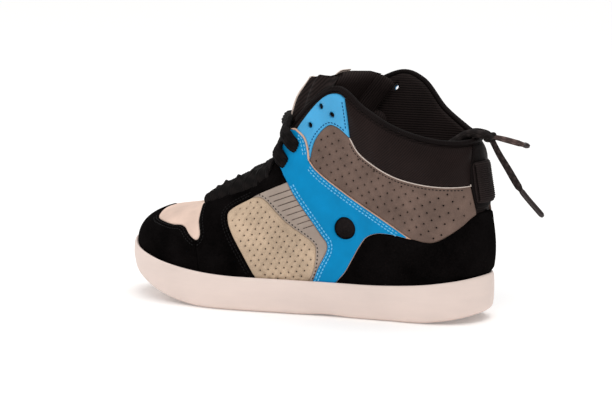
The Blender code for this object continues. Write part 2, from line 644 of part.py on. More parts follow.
def make_laces(grid):
    """Bars across the throat, the free runs, the knot and the two ends."""
    tongue, tongue_normals, _ = tongue_grid(12)
    fine, fine_normals = upper_grid(EYELET_STEPS, EYELET_STEPS)
    middle = TONGUE_COLUMNS // 2
    clear = JOINT_GAP * 2 + TONGUE_FACE_THICK + LACE_THICK / 2 + 1.8
    stay = JOINT_GAP * 2 + 1.9 + LACE_THICK / 2 + 1.6
    for number, (station, eyelet, level) in enumerate(LACE_BARS, 1):
        c = round(station * COLUMNS_PER_STATION)
        run = grid[-1, c - 1] - grid[-1, c + 1]
        run[1] = 0
        run /= np.linalg.norm(run)
        r = np.argmin(abs((tongue[:, middle] - grid[-1, c]) @ run))
        ends = []
        for side in (1, -1):
            end = []
            for share in (0, 0.5, 1):
                column = side * round((eyelet + (station - eyelet) * share) * EYELET_STEPS)
                row = round((level + (4 - level) * share) * EYELET_STEPS)
                end.append(fine[row, column] + fine_normals[row, column] * stay)
            ends.append(end)
        over = [tongue[r, k] + tongue_normals[r, k] * clear for k in (middle + 2, middle, middle - 2)]
        path = spline([*ends[0], *over, *ends[1][::-1]], 2)
        sweep(f"lace_bar_{number}", path, run, LACE_WIDTH, LACE_THICK, (0.014, 0.012, 0.012))
    for name, points in LACE_RUNS.items():
        tube(name, spline(points, 4), LACE_END_RADIUS, (0.016, 0.013, 0.012), 1)
    body = bmesh.new()
    place = Matrix.Translation(np.array(KNOT_CENTRE) * MM) @ Matrix.Diagonal((*np.array(KNOT_RADII) * MM, 1))
    bmesh.ops.create_uvsphere(body, u_segments=10, v_segments=7, radius=1.0, matrix=place)
    add_primitive("lace_knot", body, PARTS, (0.016, 0.013, 0.012))


for item in list(bpy.data.objects):
    bpy.data.objects.remove(item)
PARTS = collection(SHOE)
CUTTERS = collection(SHOE + "_cutters")
surface, outward = upper_grid()
envelope = make_sole()
make_insole(surface, outward)
upper = make_upper(surface, outward)
panels = make_panels(surface, outward, envelope)
make_holes(panels, upper)
make_inlays(surface, outward)
make_backstay(surface, outward)
make_tongue()
make_binding(surface, outward)
make_laces(surface)
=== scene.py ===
"""Looks of the high-top shoe: panels, seams, laces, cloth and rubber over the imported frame."""

from math import cos, pi, radians, sin

import bpy
import numpy as np
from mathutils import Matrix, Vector
from mathutils.geometry import delaunay_2d_cdt


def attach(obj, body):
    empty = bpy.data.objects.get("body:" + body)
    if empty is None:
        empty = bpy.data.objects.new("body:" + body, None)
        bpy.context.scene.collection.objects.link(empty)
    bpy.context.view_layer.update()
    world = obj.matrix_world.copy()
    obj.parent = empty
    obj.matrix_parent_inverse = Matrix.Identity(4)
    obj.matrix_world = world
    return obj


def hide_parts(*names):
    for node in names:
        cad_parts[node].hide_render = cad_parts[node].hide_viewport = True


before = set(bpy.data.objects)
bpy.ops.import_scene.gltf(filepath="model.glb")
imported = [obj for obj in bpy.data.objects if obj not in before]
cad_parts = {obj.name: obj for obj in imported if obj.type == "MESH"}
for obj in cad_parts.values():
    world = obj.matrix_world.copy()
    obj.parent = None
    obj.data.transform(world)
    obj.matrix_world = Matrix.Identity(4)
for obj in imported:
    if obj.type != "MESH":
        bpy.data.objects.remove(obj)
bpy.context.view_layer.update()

MM = 0.001
ROOT = "root"

# Photograph: size in pixels, and how it was taken (degrees, millimetres)
PHOTO_WIDTH, PHOTO_HEIGHT = 612, 408
CAMERA_TURN = 26.5
CAMERA_RISE = 8.62
CAMERA_DISTANCE = 1800.0
MM_PER_PIXEL = 0.7551
AIM_POINT = (0.0, 0.0, 80.0)
AIM_PIXEL = (307.4, 198.9)
SENSOR_WIDTH = 36.0

# Sizes in millimetres
UPPER_WALL = 2.2
COLLAR_WALL = 5.0
TONGUE_FACE_THICK = 1.5
SOLE_HALF_LENGTH = 150.0
SOLE_FLOOR_THICK = 13.0
INSOLE_THICK = 4.0
INSOLE_BASE = 0.4
TOE_SPRING = 27.0
HEEL_LIFT = 8.0
FLOOR_RISE_TOE = 17.0
FLOOR_RISE_HEEL = 4.5
ARCH_LIFT = 1.2
ARCH_ENDS = (-60.0, -10.0)
RIM_HEIGHT = 26.0
RIM_RISE_TOE = 17.0
RIM_RISE_HEEL = 9.7
# Where the tread and the rim start to rise, from the middle towards the toe and the heel
TREAD_BENDS = (55.0, 95.0)
RIM_BENDS = (30.0, 60.0)
TREAD_MARGIN = 8.0
LUG_DEPTH = 1.6
LUG_SUNK = 0.6
LUG_WIDTH = 5.4
LUG_PITCH = 8.0
LUG_SWING = 2.2
LUG_STEP = 8.0
EYELET_RADIUS = 2.0
# Rings pressed round an open eyelet: height, radius, half width
EYELET_RINGS = ((0.35, 2.7, 0.45), (-0.5, 3.6, 0.5))
LACE_END_RADIUS = 1.9
AGLET_LENGTHS = {"lace_end_upper": 6.0, "lace_end_lower": 26.0}
LACE_GIRTH = {"lace_run_lateral": 1.55, "lace_run_medial": 1.55, "lace_end_upper": 1.15,
              "lace_end_lower": 1.4}
KNOT_CORD = 3.8
KNOT_SPREAD = (2.3, 1.6, 0.85)
WEBBING_THICK = 1.6
LOOP_WRAP = 3.0
LOOP_WIDTH = 26.0
LOOP_STEP = 0.3
LOOP_RIB_PITCH = 1.45
# Fullness of the heel: millimetres, where it grows towards the back and upwards, and where it fades
HEEL_FILL, FILL_BACK, FILL_RISE, FILL_FADE = 3.4, (95, 138), (33, 40), (42, 74)
BINDING_RADIUS = 1.9
INLAY_RADIUS = 8.5
# The net's u counts stations from the heel over the outer side to the toe and back, its v levels up the wall
STATIONS = 22
TOE_STATION = 11
TOP_LEVEL = 4.0
STAY_END = 8.72
THROAT_START = 6.75
TIP_CORNER = (6.2, 3.97)
WING_CORNER = (6.25, 4.0)
TOE_LIP_LEVEL = 3.98
COLLAR_LEVEL, COLLAR_END = 3.95, 4.6
# The wall thickens into the collar from this level, over so many levels, and ahead to this station
PAD_START, PAD_BLEND, PAD_END = 2.6, 1.2, 5.8
BINDING_END = 6.1
# Half width of the heel strip: level, stations
BACKSTAY_HALF = ((2.5, 0.5), (3.1, 0.58), (3.4, 0.54), (4.0, 0.3))
BACKSTAY_ENDS = (2.53, 3.97)
# Directions that cords and strips are laid by
FORWARD, SIDEWAYS, UPRIGHT = (1.0, 0.0, 0.0), (0.0, 1.0, 0.0), (0.0, 0.0, 1.0)

# Plan of the sole: station, x, half width on the outer side, half width on the inner side
SOLE_PLAN = (
    ("heel_back", -150.0, 0.0, 0.0),
    ("heel_corner", -141.0, 24.5, 23.5),
    ("heel_side", -119.0, 36.5, 35.0),
    ("ankle", -83.0, 39.5, 36.5),
    ("waist", -40.0, 43.0, 37.0),
    ("flap_foot", -2.0, 48.0, 42.0),
    ("wing_foot", 24.0, 52.0, 48.0),
    ("ball_back", 48.0, 54.5, 53.0),
    ("ball", 76.0, 53.0, 54.5),
    ("toe_side", 108.0, 45.0, 50.0),
    ("toe_corner", 135.0, 26.5, 37.0),
    ("toe_tip", 150.0, -7.0, 7.0),
)
# Section of the cup sole: ring, inset from the plan, height above the line named
SOLE_SECTION = (
    ("tread_edge", 5.0, "bottom", 0.0),
    ("lower_round", 1.6, "bottom", 1.8),
    ("lower_side", 0.4, "bottom", 6.0),
    ("upper_side", 0.0, "rim", -7.0),
    ("rim_round", 0.6, "rim", -1.4),
    ("rim_top", 1.6, "rim", 0.0),
    ("rim_inner", 3.0, "rim", -0.5),
    ("cup_foot", 3.4, "floor", 0.0),
)
# Net of the upper: station, then (x, half width, z) at the edge, rim, side, shoulder and top
UPPER_NET = (
    ("heel_back", (-141, 0, 0), (-144.5, 0, 40), (-147, 0, 66), (-141.6, 0, 100), (-138.3, 0, 130.5)),
    ("heel_corner", (-133, 20, 0), (-136, 21.5, 39), (-138, 24, 66), (-133.6, 24, 101), (-130, 25.5, 130.5)),
    ("heel_side", (-114, 30, 0), (-115.5, 31.5, 36), (-117, 33.5, 67), (-116, 35, 104), (-114, 39, 133.5)),
    ("ankle", (-82, 33, 0), (-83, 34.5, 31), (-84, 35.5, 68), (-87, 38, 110), (-90, 44, 141)),
    ("waist", (-39, 36, 0), (-41, 37.5, 28), (-49, 37, 76), (-60, 39, 125), (-66, 46, 154.5)),
    ("flap_foot", (-2, 41, 0), (-4, 42.5, 28), (-13, 40, 74), (-31, 37.5, 124), (-46, 45, 168)),
    ("wing_foot", (23, 45, 0), (22, 46.5, 28), (13, 42.5, 67), (-2, 36.5, 106), (-10, 33, 144.5)),
    ("ball_back", (47, 47.5, 0), (46, 49, 28.5), (40, 46, 58), (28, 37, 84), (13, 28, 108)),
    ("ball", (74, 46.5, 0), (73, 47.8, 30), (69, 45, 51), (60, 35.5, 71), (48, 23.5, 91)),
    ("toe_side", (103, 38.5, 0), (103.5, 40, 34), (100, 37.5, 51), (92, 27.5, 64), (77, 14.5, 75)),
    ("toe_corner", (127, 22, 0), (131, 23, 40), (126, 22, 52.5), (113, 14, 64), (86, 6, 72)),
    ("toe_tip", (140, -6.5, 0), (145, -6.5, 43), (139.5, -6, 54.5), (121, -4, 65), (89, 0, 71.5)),
)
# How far each level takes the inner side's narrower plan, and the inner flap's own shift, width and rise
INNER_SHARE = (1.0, 1.0, 0.75, 0.35, 0.0)
INNER_FLARE = {
    "heel_side": (0.0, 1.02, 0.5),
    "ankle": (-2.0, 1.06, 6.0),
    "waist": (-5.0, 1.12, 13.0),
    "flap_foot": (-8.0, 1.16, 4.0),
    "wing_foot": (-3.0, 1.10, 1.5),
}
FLARE_SHARE = (0.0, 0.0, 0.0, 0.4, 1.0)
# Inner flap in the side view: height of its foot, its own height, shift of its top
FLAP_FOOT, FLAP_HEIGHT, FLAP_SHIFT = 112, 56, (-8.0, 4.0)
# Borders between the panels in the side view: (x, z), each one shared by its neighbours
BORDERS = {
    "toe_cap_top": ((119.2, 60.5), (117.2, 59.5), (113.8, 58.9), (103.2, 57.9), (96.1, 57.7), (88, 58.3),
                    (83.5, 57.1), (80.6, 54.9), (76.9, 52.3), (73, 50.2), (70.8, 49.8)),
    "stay_front": ((75.5, 72.8), (73.9, 69.5), (73.1, 66), (72, 62.6), (70, 59), (68.2, 55.6),
                   (67.8, 52.6), (69, 50.3), (70.8, 49.8)),
    "stay_foot": ((70.8, 49.8), (68.9, 41.5), (64.6, 21.4), (61.6, 8)),
    "vamp_front": ((7.3, 8), (19.9, 25.2), (31.9, 44.3), (40.9, 58.6), (45.2, 66.3), (46.4, 70.9),
                   (42.9, 74.9), (26.6, 83.9)),
    "rib_top": ((26.6, 83.9), (18.1, 88.5), (-2.8, 97.9)),
    "rib_front": ((26.6, 83.9), (20.3, 85), (14.6, 83.2), (-2.8, 68.7), (-25.6, 53.2),
                  (-26.8, 49.3), (-25.4, 34.6), (-21.8, 25.6), (-15.1, 8)),
    "wing_top": ((-2.8, 97.9), (1.1, 103.5), (3.3, 107.1), (17.1, 120.1)),
    "wing_front": ((-2.8, 97.9), (-8.6, 89.2), (-22.6, 71.4), (-31.0, 60.4), (-35.6, 54.2),
                   (-35.4, 49.3), (-29.1, 36.7), (-24.2, 25.2), (-17.2, 8)),
    "wing_low": ((-32.5, 8), (-42.8, 25.6), (-50.1, 34.2), (-55.5, 43.6), (-61.8, 54.6),
                 (-66.6, 60.7), (-74.4, 64.3), (-85.4, 64.4), (-102, 62)),
    "wing_back": ((-102, 62), (-77.7, 76.3), (-51.6, 91.6), (-26.3, 108.6), (-20.8, 114.9)),
    "wing_tip": ((-20.8, 114.9), (-19.3, 126.1), (-16.7, 132.1), (-9.1, 137)),
    "tip_arch": ((-20.8, 114.9), (-24.9, 129.1), (-32.2, 138.6), (-39.3, 142.8), (-45.9, 141),
                 (-54.8, 134.2)),
    "tip_rear": ((-54.8, 134.2), (-54.3, 152), (-53.4, 163.2)),
    "tip_front": ((-53.4, 163.2), (-50.6, 165.2), (-46.8, 166.4), (-39.7, 165.4), (-31.2, 160.6),
                  (-20.3, 150.4), (-10.6, 139.3), (-9.1, 137)),
    "quarter_top": ((-54.8, 134.2), (-61.2, 123.4), (-74.7, 113.8), (-90.1, 106.7), (-109.3, 102.6),
                    (-126.4, 100.8), (-165, 100.5)),
    "counter_top": ((-102, 62), (-116.1, 60), (-124.1, 62.8), (-136.2, 71.7), (-145, 81.2),
                    (-165, 82.6)),
}
# Open eyelets and round inlay in the side view, then the inner flap's eyelets in (u, v)
EYELETS = ((-32.6, 156.3), (-41.7, 150.8), (-22.2, 141.6))
INLAY_CENTRE = (-49.9, 67.1)
EYELETS_INNER = ((17.14, 3.77), (16.68, 3.49), (16.42, 3.62))
# Middle of the toe cap's upper edge in (u, v), from the toe's centre line outwards
TOE_CAP_CENTRE = ((11.0, 3.23), (10.8, 3.175), (10.575, 2.975), (10.3, 2.8))
# Roll of padding on the inside of the inner flap, in (u, v)
ANKLE_ROLL = ((15.9, 3.56), (16.3, 3.55), (16.7, 3.42), (17.1, 3.26), (17.5, 3.12))
# How far the tongue's top edge and its pale layer lie from the plain sections: place across, millimetres
TONGUE_TOP = ((-1, 4.3), (-0.9, 1.8), (-0.7, 1.1), (-0.6, 1.7), (-0.5, 3.4), (-0.4, 4.4), (-0.2, 3.5),
              (0, 3.9), (0.2, 3.7), (0.4, 2.7), (0.6, 1), (0.7, 0), (1, 0))
PALE_SPAN = (-0.72, 0.3)
PALE_TOP = ((-0.72, 0.8), (-0.56, 0.8), (-0.46, -2.3), (-0.2, -2.3), (-0.05, -0.6), (0.3, -0.6))
# Ribbed tape beside the tongue's edge: where it lies from that edge, its width, thickness and rib spacing
TAPE_SHIFT = (-9.0, -4.4, -4.5)
TAPE_WIDTH, TAPE_THICK, TAPE_RIB = 15.0, 4.0, 1.9
# Sections of the tongue's front face: x, z, half width, edge set back, edge set down, thickness
TONGUE = (
    ("root", 100.0, 58.0, 13.0, 1.0, 3.0, 5.0),
    ("vamp", 77.0, 76.0, 14.5, 4.0, 9.0, 6.0),
    ("instep", 48.0, 95.0, 22.5, 4.5, 10.0, 7.0),
    ("bend", 19.0, 113.0, 26.5, 12.0, 11.0, 8.0),
    ("lower", 13.5, 130.0, 28.0, 23.0, 9.0, 9.0),
    ("middle", 10.5, 146.0, 29.0, 33.0, 4.0, 10.0),
    ("upper", 5.5, 161.0, 33.0, 38.0, 1.0, 10.5),
    ("top", -5.0, 177.0, 37.0, 39.0, -1.0, 10.0),
)
# Lace bars from the toe up: station at the rim, station and level of the eyelet, width, thickness
LACE_BARS = (
    (8.52, 8.5, 3.62, 11.5, 3.4),
    (8.27, 8.26, 3.58, 14.4, 3.6),
    (8.0, 8.0, 3.55, 14.6, 3.4),
    (7.667, 7.667, 3.52, 14.6, 3.4),
    (7.333, 7.333, 3.5, 14.4, 3.4),
    (7.0, 6.97, 3.5, 13.4, 3.6),
    (6.667, 6.15, 3.25, 10.0, 5.0),
    (6.333, 5.875, 3.4, 10.0, 5.4),
)
# Bars wider than this lie flat on the stay; spacing of the ribs along a bar
FLAT_BAR, BAR_RIB = 11, 2.4
# Free lace: (x, y, z) along each run
LACE_RUNS = {
    "lace_run_lateral": ((-28, 27.5, 128), (-55, 28, 123), (-90, 24, 121), (-118, 14, 128),
                         (-133, 5, 137.5), (-142.6, 3.2, 137.2), (-147.5, 1, 135.8)),
    "lace_run_medial": ((-30, -29, 130), (-55, -30, 124), (-90, -26, 121), (-118, -15, 128),
                        (-133, -5, 137.5), (-142.6, -3.2, 137.2), (-147.5, -1, 135.8)),
    "lace_end_upper": ((-146.3, 1, 136.2), (-153.2, -2.8, 134.6), (-159.6, -6.5, 132.7),
                       (-166, -10.2, 130.6), (-173, -14.3, 128.2)),
    "lace_end_lower": ((-148.4, -0.6, 134.2), (-150.2, -2, 129.9), (-154, -3, 122.5), (-159.5, -5, 113),
                       (-168.8, -9, 96.5), (-184, -15, 77.2)),
}
KNOT_CENTRE = (-147.6, 0.0, 135.4)
# Pull loop seen from the side: (x, z) round it
PULL_LOOP = ((-143, 115.6), (-144.1, 117), (-145.2, 115.7), (-146.3, 110), (-147.8, 101), (-149, 94),
             (-149.3, 90.8), (-148.4, 88.9), (-147, 89.2), (-146.3, 92), (-144.9, 100), (-143.8, 108.5))


# Curves and the net of the upper

def spline(points, per_span, closed=False):
    """Smooth curve through points, with per_span samples in each span."""
    points = np.asarray(points, float)
    count = len(points)
    spans = count if closed else count - 1
    chord = [np.linalg.norm(points[(i + 1) % count] - points[i]) ** 0.5 + 1e-9 for i in range(spans)]

    def slope(i):
        if not closed and i == 0:
            return (points[1] - points[0]) / chord[0]
        if not closed and i == count - 1:
            return (points[-1] - points[-2]) / chord[-1]
        before, after = chord[i - 1], chord[i % spans]
        back = (points[i % count] - points[i - 1]) / before
        ahead = (points[(i + 1) % count] - points[i % count]) / after
        return (back * after + ahead * before) / (before + after)

    samples = []
    steps = np.arange(per_span)[:, None] / per_span
    for i in range(spans):
        start, end = points[i], points[(i + 1) % count]
        blend = steps * steps * (3 - 2 * steps)
        rise = steps * (1 - steps) ** 2 * slope(i) - steps * steps * (1 - steps) * slope(i + 1)
        samples.append(start * (1 - blend) + end * blend + rise * chord[i])
    if not closed:
        samples.append(points[-1:])
    return np.concatenate(samples)


def unit(vectors):
    return vectors / (np.linalg.norm(vectors, axis=-1, keepdims=True) + 1e-12)


def smooth(value, low, high):
    """Soft step from 0 at low to 1 at high."""
    t = np.clip((value - low) / (high - low), 0, 1)
    return t * t * (3 - 2 * t)


def run_along(path):
    """Distance along a path at each of its points."""
    return np.concatenate(([0], np.cumsum(np.linalg.norm(np.diff(path, axis=0), axis=1))))


def read_along(marks, run, path):
    """Points of a path at distances along it."""
    return np.column_stack([np.interp(marks, run, column) for column in path.T])


def even(path, gap):
    """The same path with points at one even spacing."""
    run = run_along(path)
    count = max(2, int(round(run[-1] / gap)) + 1)
    return read_along(np.linspace(0, run[-1], count), run, path)


def sole_loop():
    outer = [(x, wide) for _, x, wide, _ in SOLE_PLAN]
    inner = [(x, -wide) for _, x, _, wide in SOLE_PLAN[-2:0:-1]]
    return outer + inner


def lifted(x, toe_rise, heel_rise, toe_start, heel_start):
    """Rise towards the tip of the toe and the back of the heel."""
    toe = np.clip((x - toe_start) / (SOLE_HALF_LENGTH - toe_start), 0, 1)
    heel = np.clip((-x - heel_start) / (SOLE_HALF_LENGTH - heel_start), 0, 1)
    return toe_rise * toe ** 2 + heel_rise * heel ** 2


def arch(x):
    """Rise of the sole under the arch of the foot."""
    start, end = ARCH_ENDS
    return ARCH_LIFT * np.sin(pi * np.clip((x - start) / (end - start), 0, 1)) ** 2


def sole_bottom(x):
    return lifted(x, TOE_SPRING, HEEL_LIFT, *TREAD_BENDS) + arch(x)


def sole_rim(x):
    return RIM_HEIGHT + lifted(x, RIM_RISE_TOE, RIM_RISE_HEEL, *RIM_BENDS)


def cup_floor(x):
    """Height of the floor inside the cup; it rises less than the tread at the toe and heel."""
    return SOLE_FLOOR_THICK + lifted(x, FLOOR_RISE_TOE, FLOOR_RISE_HEEL, *TREAD_BENDS) + arch(x)


class Net:
    """Outer face of the upper: u counts stations round the shoe, v counts levels up its wall."""

    def __init__(self, per_station, per_level):
        self.per_station, self.per_level = per_station, per_level
        rings = np.array([spline(loop, per_station, closed=True) for loop in self.loops()])
        rings[0, :, 2] = cup_floor(rings[0, :, 0]) + 0.75
        columns = [spline(rings[:, i], per_level) for i in range(rings.shape[1])]
        self.points = np.array(columns).transpose(1, 0, 2)
        along = np.roll(self.points, -1, 1) - np.roll(self.points, 1, 1)
        self.normals = unit(np.cross(np.gradient(self.points, axis=0), along))

    def loops(self):
        stations = [row[0] for row in SOLE_PLAN]
        ratio = [1.0] + [inner / outer for _, _, outer, inner in SOLE_PLAN[1:-1]] + [1.0]
        for level, (share, flare) in enumerate(zip(INNER_SHARE, FLARE_SHARE)):
            outer = [row[1 + level] for row in UPPER_NET]
            inner = []
            for i in range(len(outer) - 2, 0, -1):
                x, half, z = outer[i]
                shift, factor, rise = INNER_FLARE.get(stations[i], (0.0, 1.0, 0.0))
                wide = half * (1 + (ratio[i] - 1) * share) * (1 + (factor - 1) * flare)
                inner.append((x + shift * flare, -wide, z + rise * flare))
            yield outer + inner

    def read(self, grid, uv):
        rows, columns = grid.shape[:2]
        a = uv[..., 0] * self.per_station
        b = np.clip(uv[..., 1] * self.per_level, 0, rows - 1 - 1e-6)
        i, j = np.floor(a).astype(int), np.floor(b).astype(int)
        s, t = (a - i)[..., None], (b - j)[..., None]
        i, k = i % columns, (i + 1) % columns
        low = grid[j, i] * (1 - s) + grid[j, k] * s
        high = grid[j + 1, i] * (1 - s) + grid[j + 1, k] * s
        return low * (1 - t) + high * t

    def at(self, uv, lift=0.0):
        uv = np.asarray(uv, float)
        lift = np.asarray(lift, float)[..., None]
        return self.read(self.points, uv) + self.normal(uv) * lift

    def normal(self, uv):
        return unit(self.read(self.normals, np.asarray(uv, float)))

    def slopes(self, uv):
        """How the surface point moves for one unit of u and of v."""
        h = 0.04
        u, v = uv[..., 0], uv[..., 1]
        low, high = np.clip(v - h, 0, TOP_LEVEL), np.clip(v + h, 0, TOP_LEVEL)
        turn = self.at(np.stack((u + h, v), -1)) - self.at(np.stack((u - h, v), -1))
        rise = self.at(np.stack((u, high), -1)) - self.at(np.stack((u, low), -1))
        return turn / (2 * h), rise / (high - low)[..., None]

    def step(self, uv, move):
        """The (u, v) reached by moving along the surface."""
        by_u, by_v = self.slopes(uv)
        a = np.sum(by_u * by_u, -1) + 1e-9
        b = np.sum(by_u * by_v, -1)
        c = np.sum(by_v * by_v, -1) + 1e-9
        p, q = np.sum(by_u * move, -1), np.sum(by_v * move, -1)
        det = a * c - b * b
        new = uv + np.stack(((c * p - b * q) / det, (a * q - b * p) / det), -1)
        new[..., 1] = np.clip(new[..., 1], 0, TOP_LEVEL)
        return new

    def find(self, xz, side):
        """(u, v) of side-view points on the outer (1) or inner (-1) half."""
        xz = np.asarray(xz, float)
        middle = TOE_STATION * self.per_station
        part = self.points[:, :middle + 1] if side > 0 else np.roll(self.points, -middle, 1)[:, :middle + 1]
        flat = part[:, :, (0, 2)].reshape(-1, 2)
        best = np.array([np.argmin(np.sum((flat - p) ** 2, axis=1)) for p in xz])
        v, u = best // part.shape[1] / self.per_level, best % part.shape[1] / self.per_station
        uv = np.stack((u + (0 if side > 0 else TOE_STATION), v), -1).astype(float)
        for _ in range(4):
            miss = xz - self.at(uv)[:, (0, 2)]
            by_u, by_v = self.slopes(uv)
            det = by_u[:, 0] * by_v[:, 2] - by_v[:, 0] * by_u[:, 2]
            det = np.where(abs(det) < 20, 20 * np.sign(det + 1e-9), det)
            du = (miss[:, 0] * by_v[:, 2] - miss[:, 1] * by_v[:, 0]) / det
            dv = (miss[:, 1] * by_u[:, 0] - miss[:, 0] * by_u[:, 2]) / det
            uv += np.clip(np.stack((du, dv), -1), -0.06, 0.06)
            uv[:, 1] = np.clip(uv[:, 1], 0, TOP_LEVEL)
            low = 0 if side > 0 else TOE_STATION
            uv[:, 0] = np.clip(uv[:, 0], low, low + TOE_STATION)
        return uv


NET = Net(16, 20)
# Cut panels: how deep they sink into the upper, and how far inside the edge the rim of a hole counts
PANEL_BASE, HOLE_EDGE = -0.3, 0.55
# One stitch, lengthwise: place, width and height of its rings
STITCH_FORM = ((-0.5, 0.35, -0.9), (-0.34, 0.9, -0.1), (0, 1, 0.15), (0.34, 0.9, -0.1), (0.5, 0.35, -0.9))
# How far stitches stand above leather and above suede
STITCH_STAND, SUEDE_STITCH_STAND = 0.1, 0.05
# Seams: distances from the border, then spacing, length and radius of the stitches
SEAMS = {
    "wing": ((1.9, 4.1), (2.9, 2.3, 0.5)),
    "tip": ((2.0,), (2.6, 1.9, 0.4)),
    "rib": ((1.6,), (2.9, 1.5, 0.45)),
    "quarter": ((2.0,), (2.6, 1.9, 0.36)),
    "suede": ((1.8, 4.0), (2.6, 2.0, 0.4)),
}
# Cut edges that show: height above the net, width, thickness
EDGES = {"wing_tip_edge": (1.9, 1.5, 1.9), "wing_back_edge": (1.7, 0.8, 1.6), "quarter_edge": (1.0, 0.8, 1.5)}


def side_view(points, side):
    """Side-view points, moved back and up with the inner flap on the inner side."""
    points = np.array(points, float)
    share = np.clip((points[:, 1:] - FLAP_FOOT) / FLAP_HEIGHT, 0, 1) if side < 0 else 0
    return points + share * np.array(FLAP_SHIFT)


def border(name, side, backwards=False):
    """One border as (u, v) points on a side of the shoe."""
    uv = NET.find(side_view(spline(BORDERS[name], 8), side), side)
    return uv[::-1] if backwards else uv


# Meshes

def add_piece(name, points, faces, materials, slot, nodes=(), face_materials=None, uvs=None):
    """One visible piece: points in millimetres, the record's slot (not used) and the CAD nodes it stands for.
    """
    mesh = bpy.data.meshes.new(name)
    mesh.from_pydata((np.asarray(points, float).reshape(-1, 3) * MM).tolist(), [], faces)
    mesh.update()
    for material in materials if isinstance(materials, (list, tuple)) else [materials]:
        mesh.materials.append(material)
    if face_materials is not None:
        mesh.polygons.foreach_set("material_index", np.asarray(face_materials, int))
    mesh.polygons.foreach_set("use_smooth", [True] * len(mesh.polygons))
    if uvs is not None:
        layer = mesh.uv_layers.new(name="along")
        corners = np.zeros(len(mesh.loops), int)
        mesh.loops.foreach_get("vertex_index", corners)
        layer.data.foreach_set("uv", np.asarray(uvs, float)[corners].ravel())
    piece = bpy.data.objects.new(name + "_dressed", mesh)
    bpy.context.scene.collection.objects.link(piece)
    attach(piece, ROOT)
    if nodes:
        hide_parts(*nodes)
    return piece


def grid_faces(rows, columns, ring=False, start=0):
    """Faces through a grid of points; with ring, its last column meets its first."""
    spans = columns if ring else columns - 1
    r, c = np.meshgrid(np.arange(rows - 1), np.arange(spans), indexing="ij")
    after = (c + 1) % columns
    above = (r + 1) * columns
    quads = np.stack((r * columns + c, above + c, above + after, r * columns + after), -1)
    return (quads.reshape(-1, 4) + start).tolist()


def tube_faces(rows, columns, start=0):
    """Faces of a tube through rings of points, both its ends covered."""
    last = start + (rows - 1) * columns
    ends = [list(range(start, start + columns)), list(range(last, last + columns))[::-1]]
    return grid_faces(rows, columns, True, start) + ends


def hoop_faces(rows, columns):
    """Faces of a tube whose last ring meets its first."""
    last = (rows - 1) * columns
    seam = [[last + c, c, (c + 1) % columns, last + (c + 1) % columns] for c in range(columns)]
    return grid_faces(rows, columns, True) + seam


def inside(points, loop):
    """Which points lie inside a closed loop."""
    x, y = points[:, :1], points[:, 1:]
    a, b = loop, np.roll(loop, -1, 0)
    crosses = (a[None, :, 1] > y) != (b[None, :, 1] > y)
    rise = np.where(abs(b[:, 1] - a[:, 1]) < 1e-12, 1e-12, b[:, 1] - a[:, 1])
    reach = a[None, :, 0] + (y - a[None, :, 1]) * ((b - a)[:, 0] / rise)[None, :]
    return np.sum(crosses & (x < reach), axis=1) % 2 == 1


def nearest(points, others):
    """Distance from each point to the closest of the others."""
    result = np.empty(len(points))
    for start in range(0, len(points), 2000):
        part = points[start:start + 2000]
        result[start:start + 2000] = np.sqrt(((part[:, None] - others[None]) ** 2).sum(2).min(1))
    return result


def tidy_loop(uv, gap=0.9):
    """Closed loop at even steps along the surface, corners kept to the step."""
    closed = np.concatenate((uv, uv[:1]))
    space = NET.at(closed)
    keep = np.concatenate(([True], np.linalg.norm(np.diff(space, axis=0), axis=1) > 0.05))
    closed, space = closed[keep], space[keep]
    run = run_along(space)
    marks = np.linspace(0, run[-1], max(12, int(run[-1] / gap)), endpoint=False)
    return read_along(marks, run, closed)


def set_in(loop, distance):
    """Loop moved inwards along the surface, without what folds back on itself."""
    space, normal = NET.at(loop), NET.normal(loop)
    along = unit(np.roll(space, -1, 0) - np.roll(space, 1, 0))
    area = np.sum(loop[:, 0] * np.roll(loop[:, 1], -1) - loop[:, 1] * np.roll(loop[:, 0], -1))
    moved = NET.step(loop, np.cross(-normal * np.sign(area), along) * distance)
    return moved[nearest(NET.at(moved), space) > distance * 0.86]


def round_hole(centre, radius, count):
    """Loop round a (u, v) point."""
    centre = np.asarray(centre, float)[None]
    by_u, _ = NET.slopes(centre)
    east = unit(by_u)
    north = np.cross(NET.normal(centre), east)
    angles = np.linspace(0, 2 * pi, count, endpoint=False)[:, None]
    return NET.step(np.repeat(centre, count, 0), radius * (east * np.cos(angles) + north * np.sin(angles)))


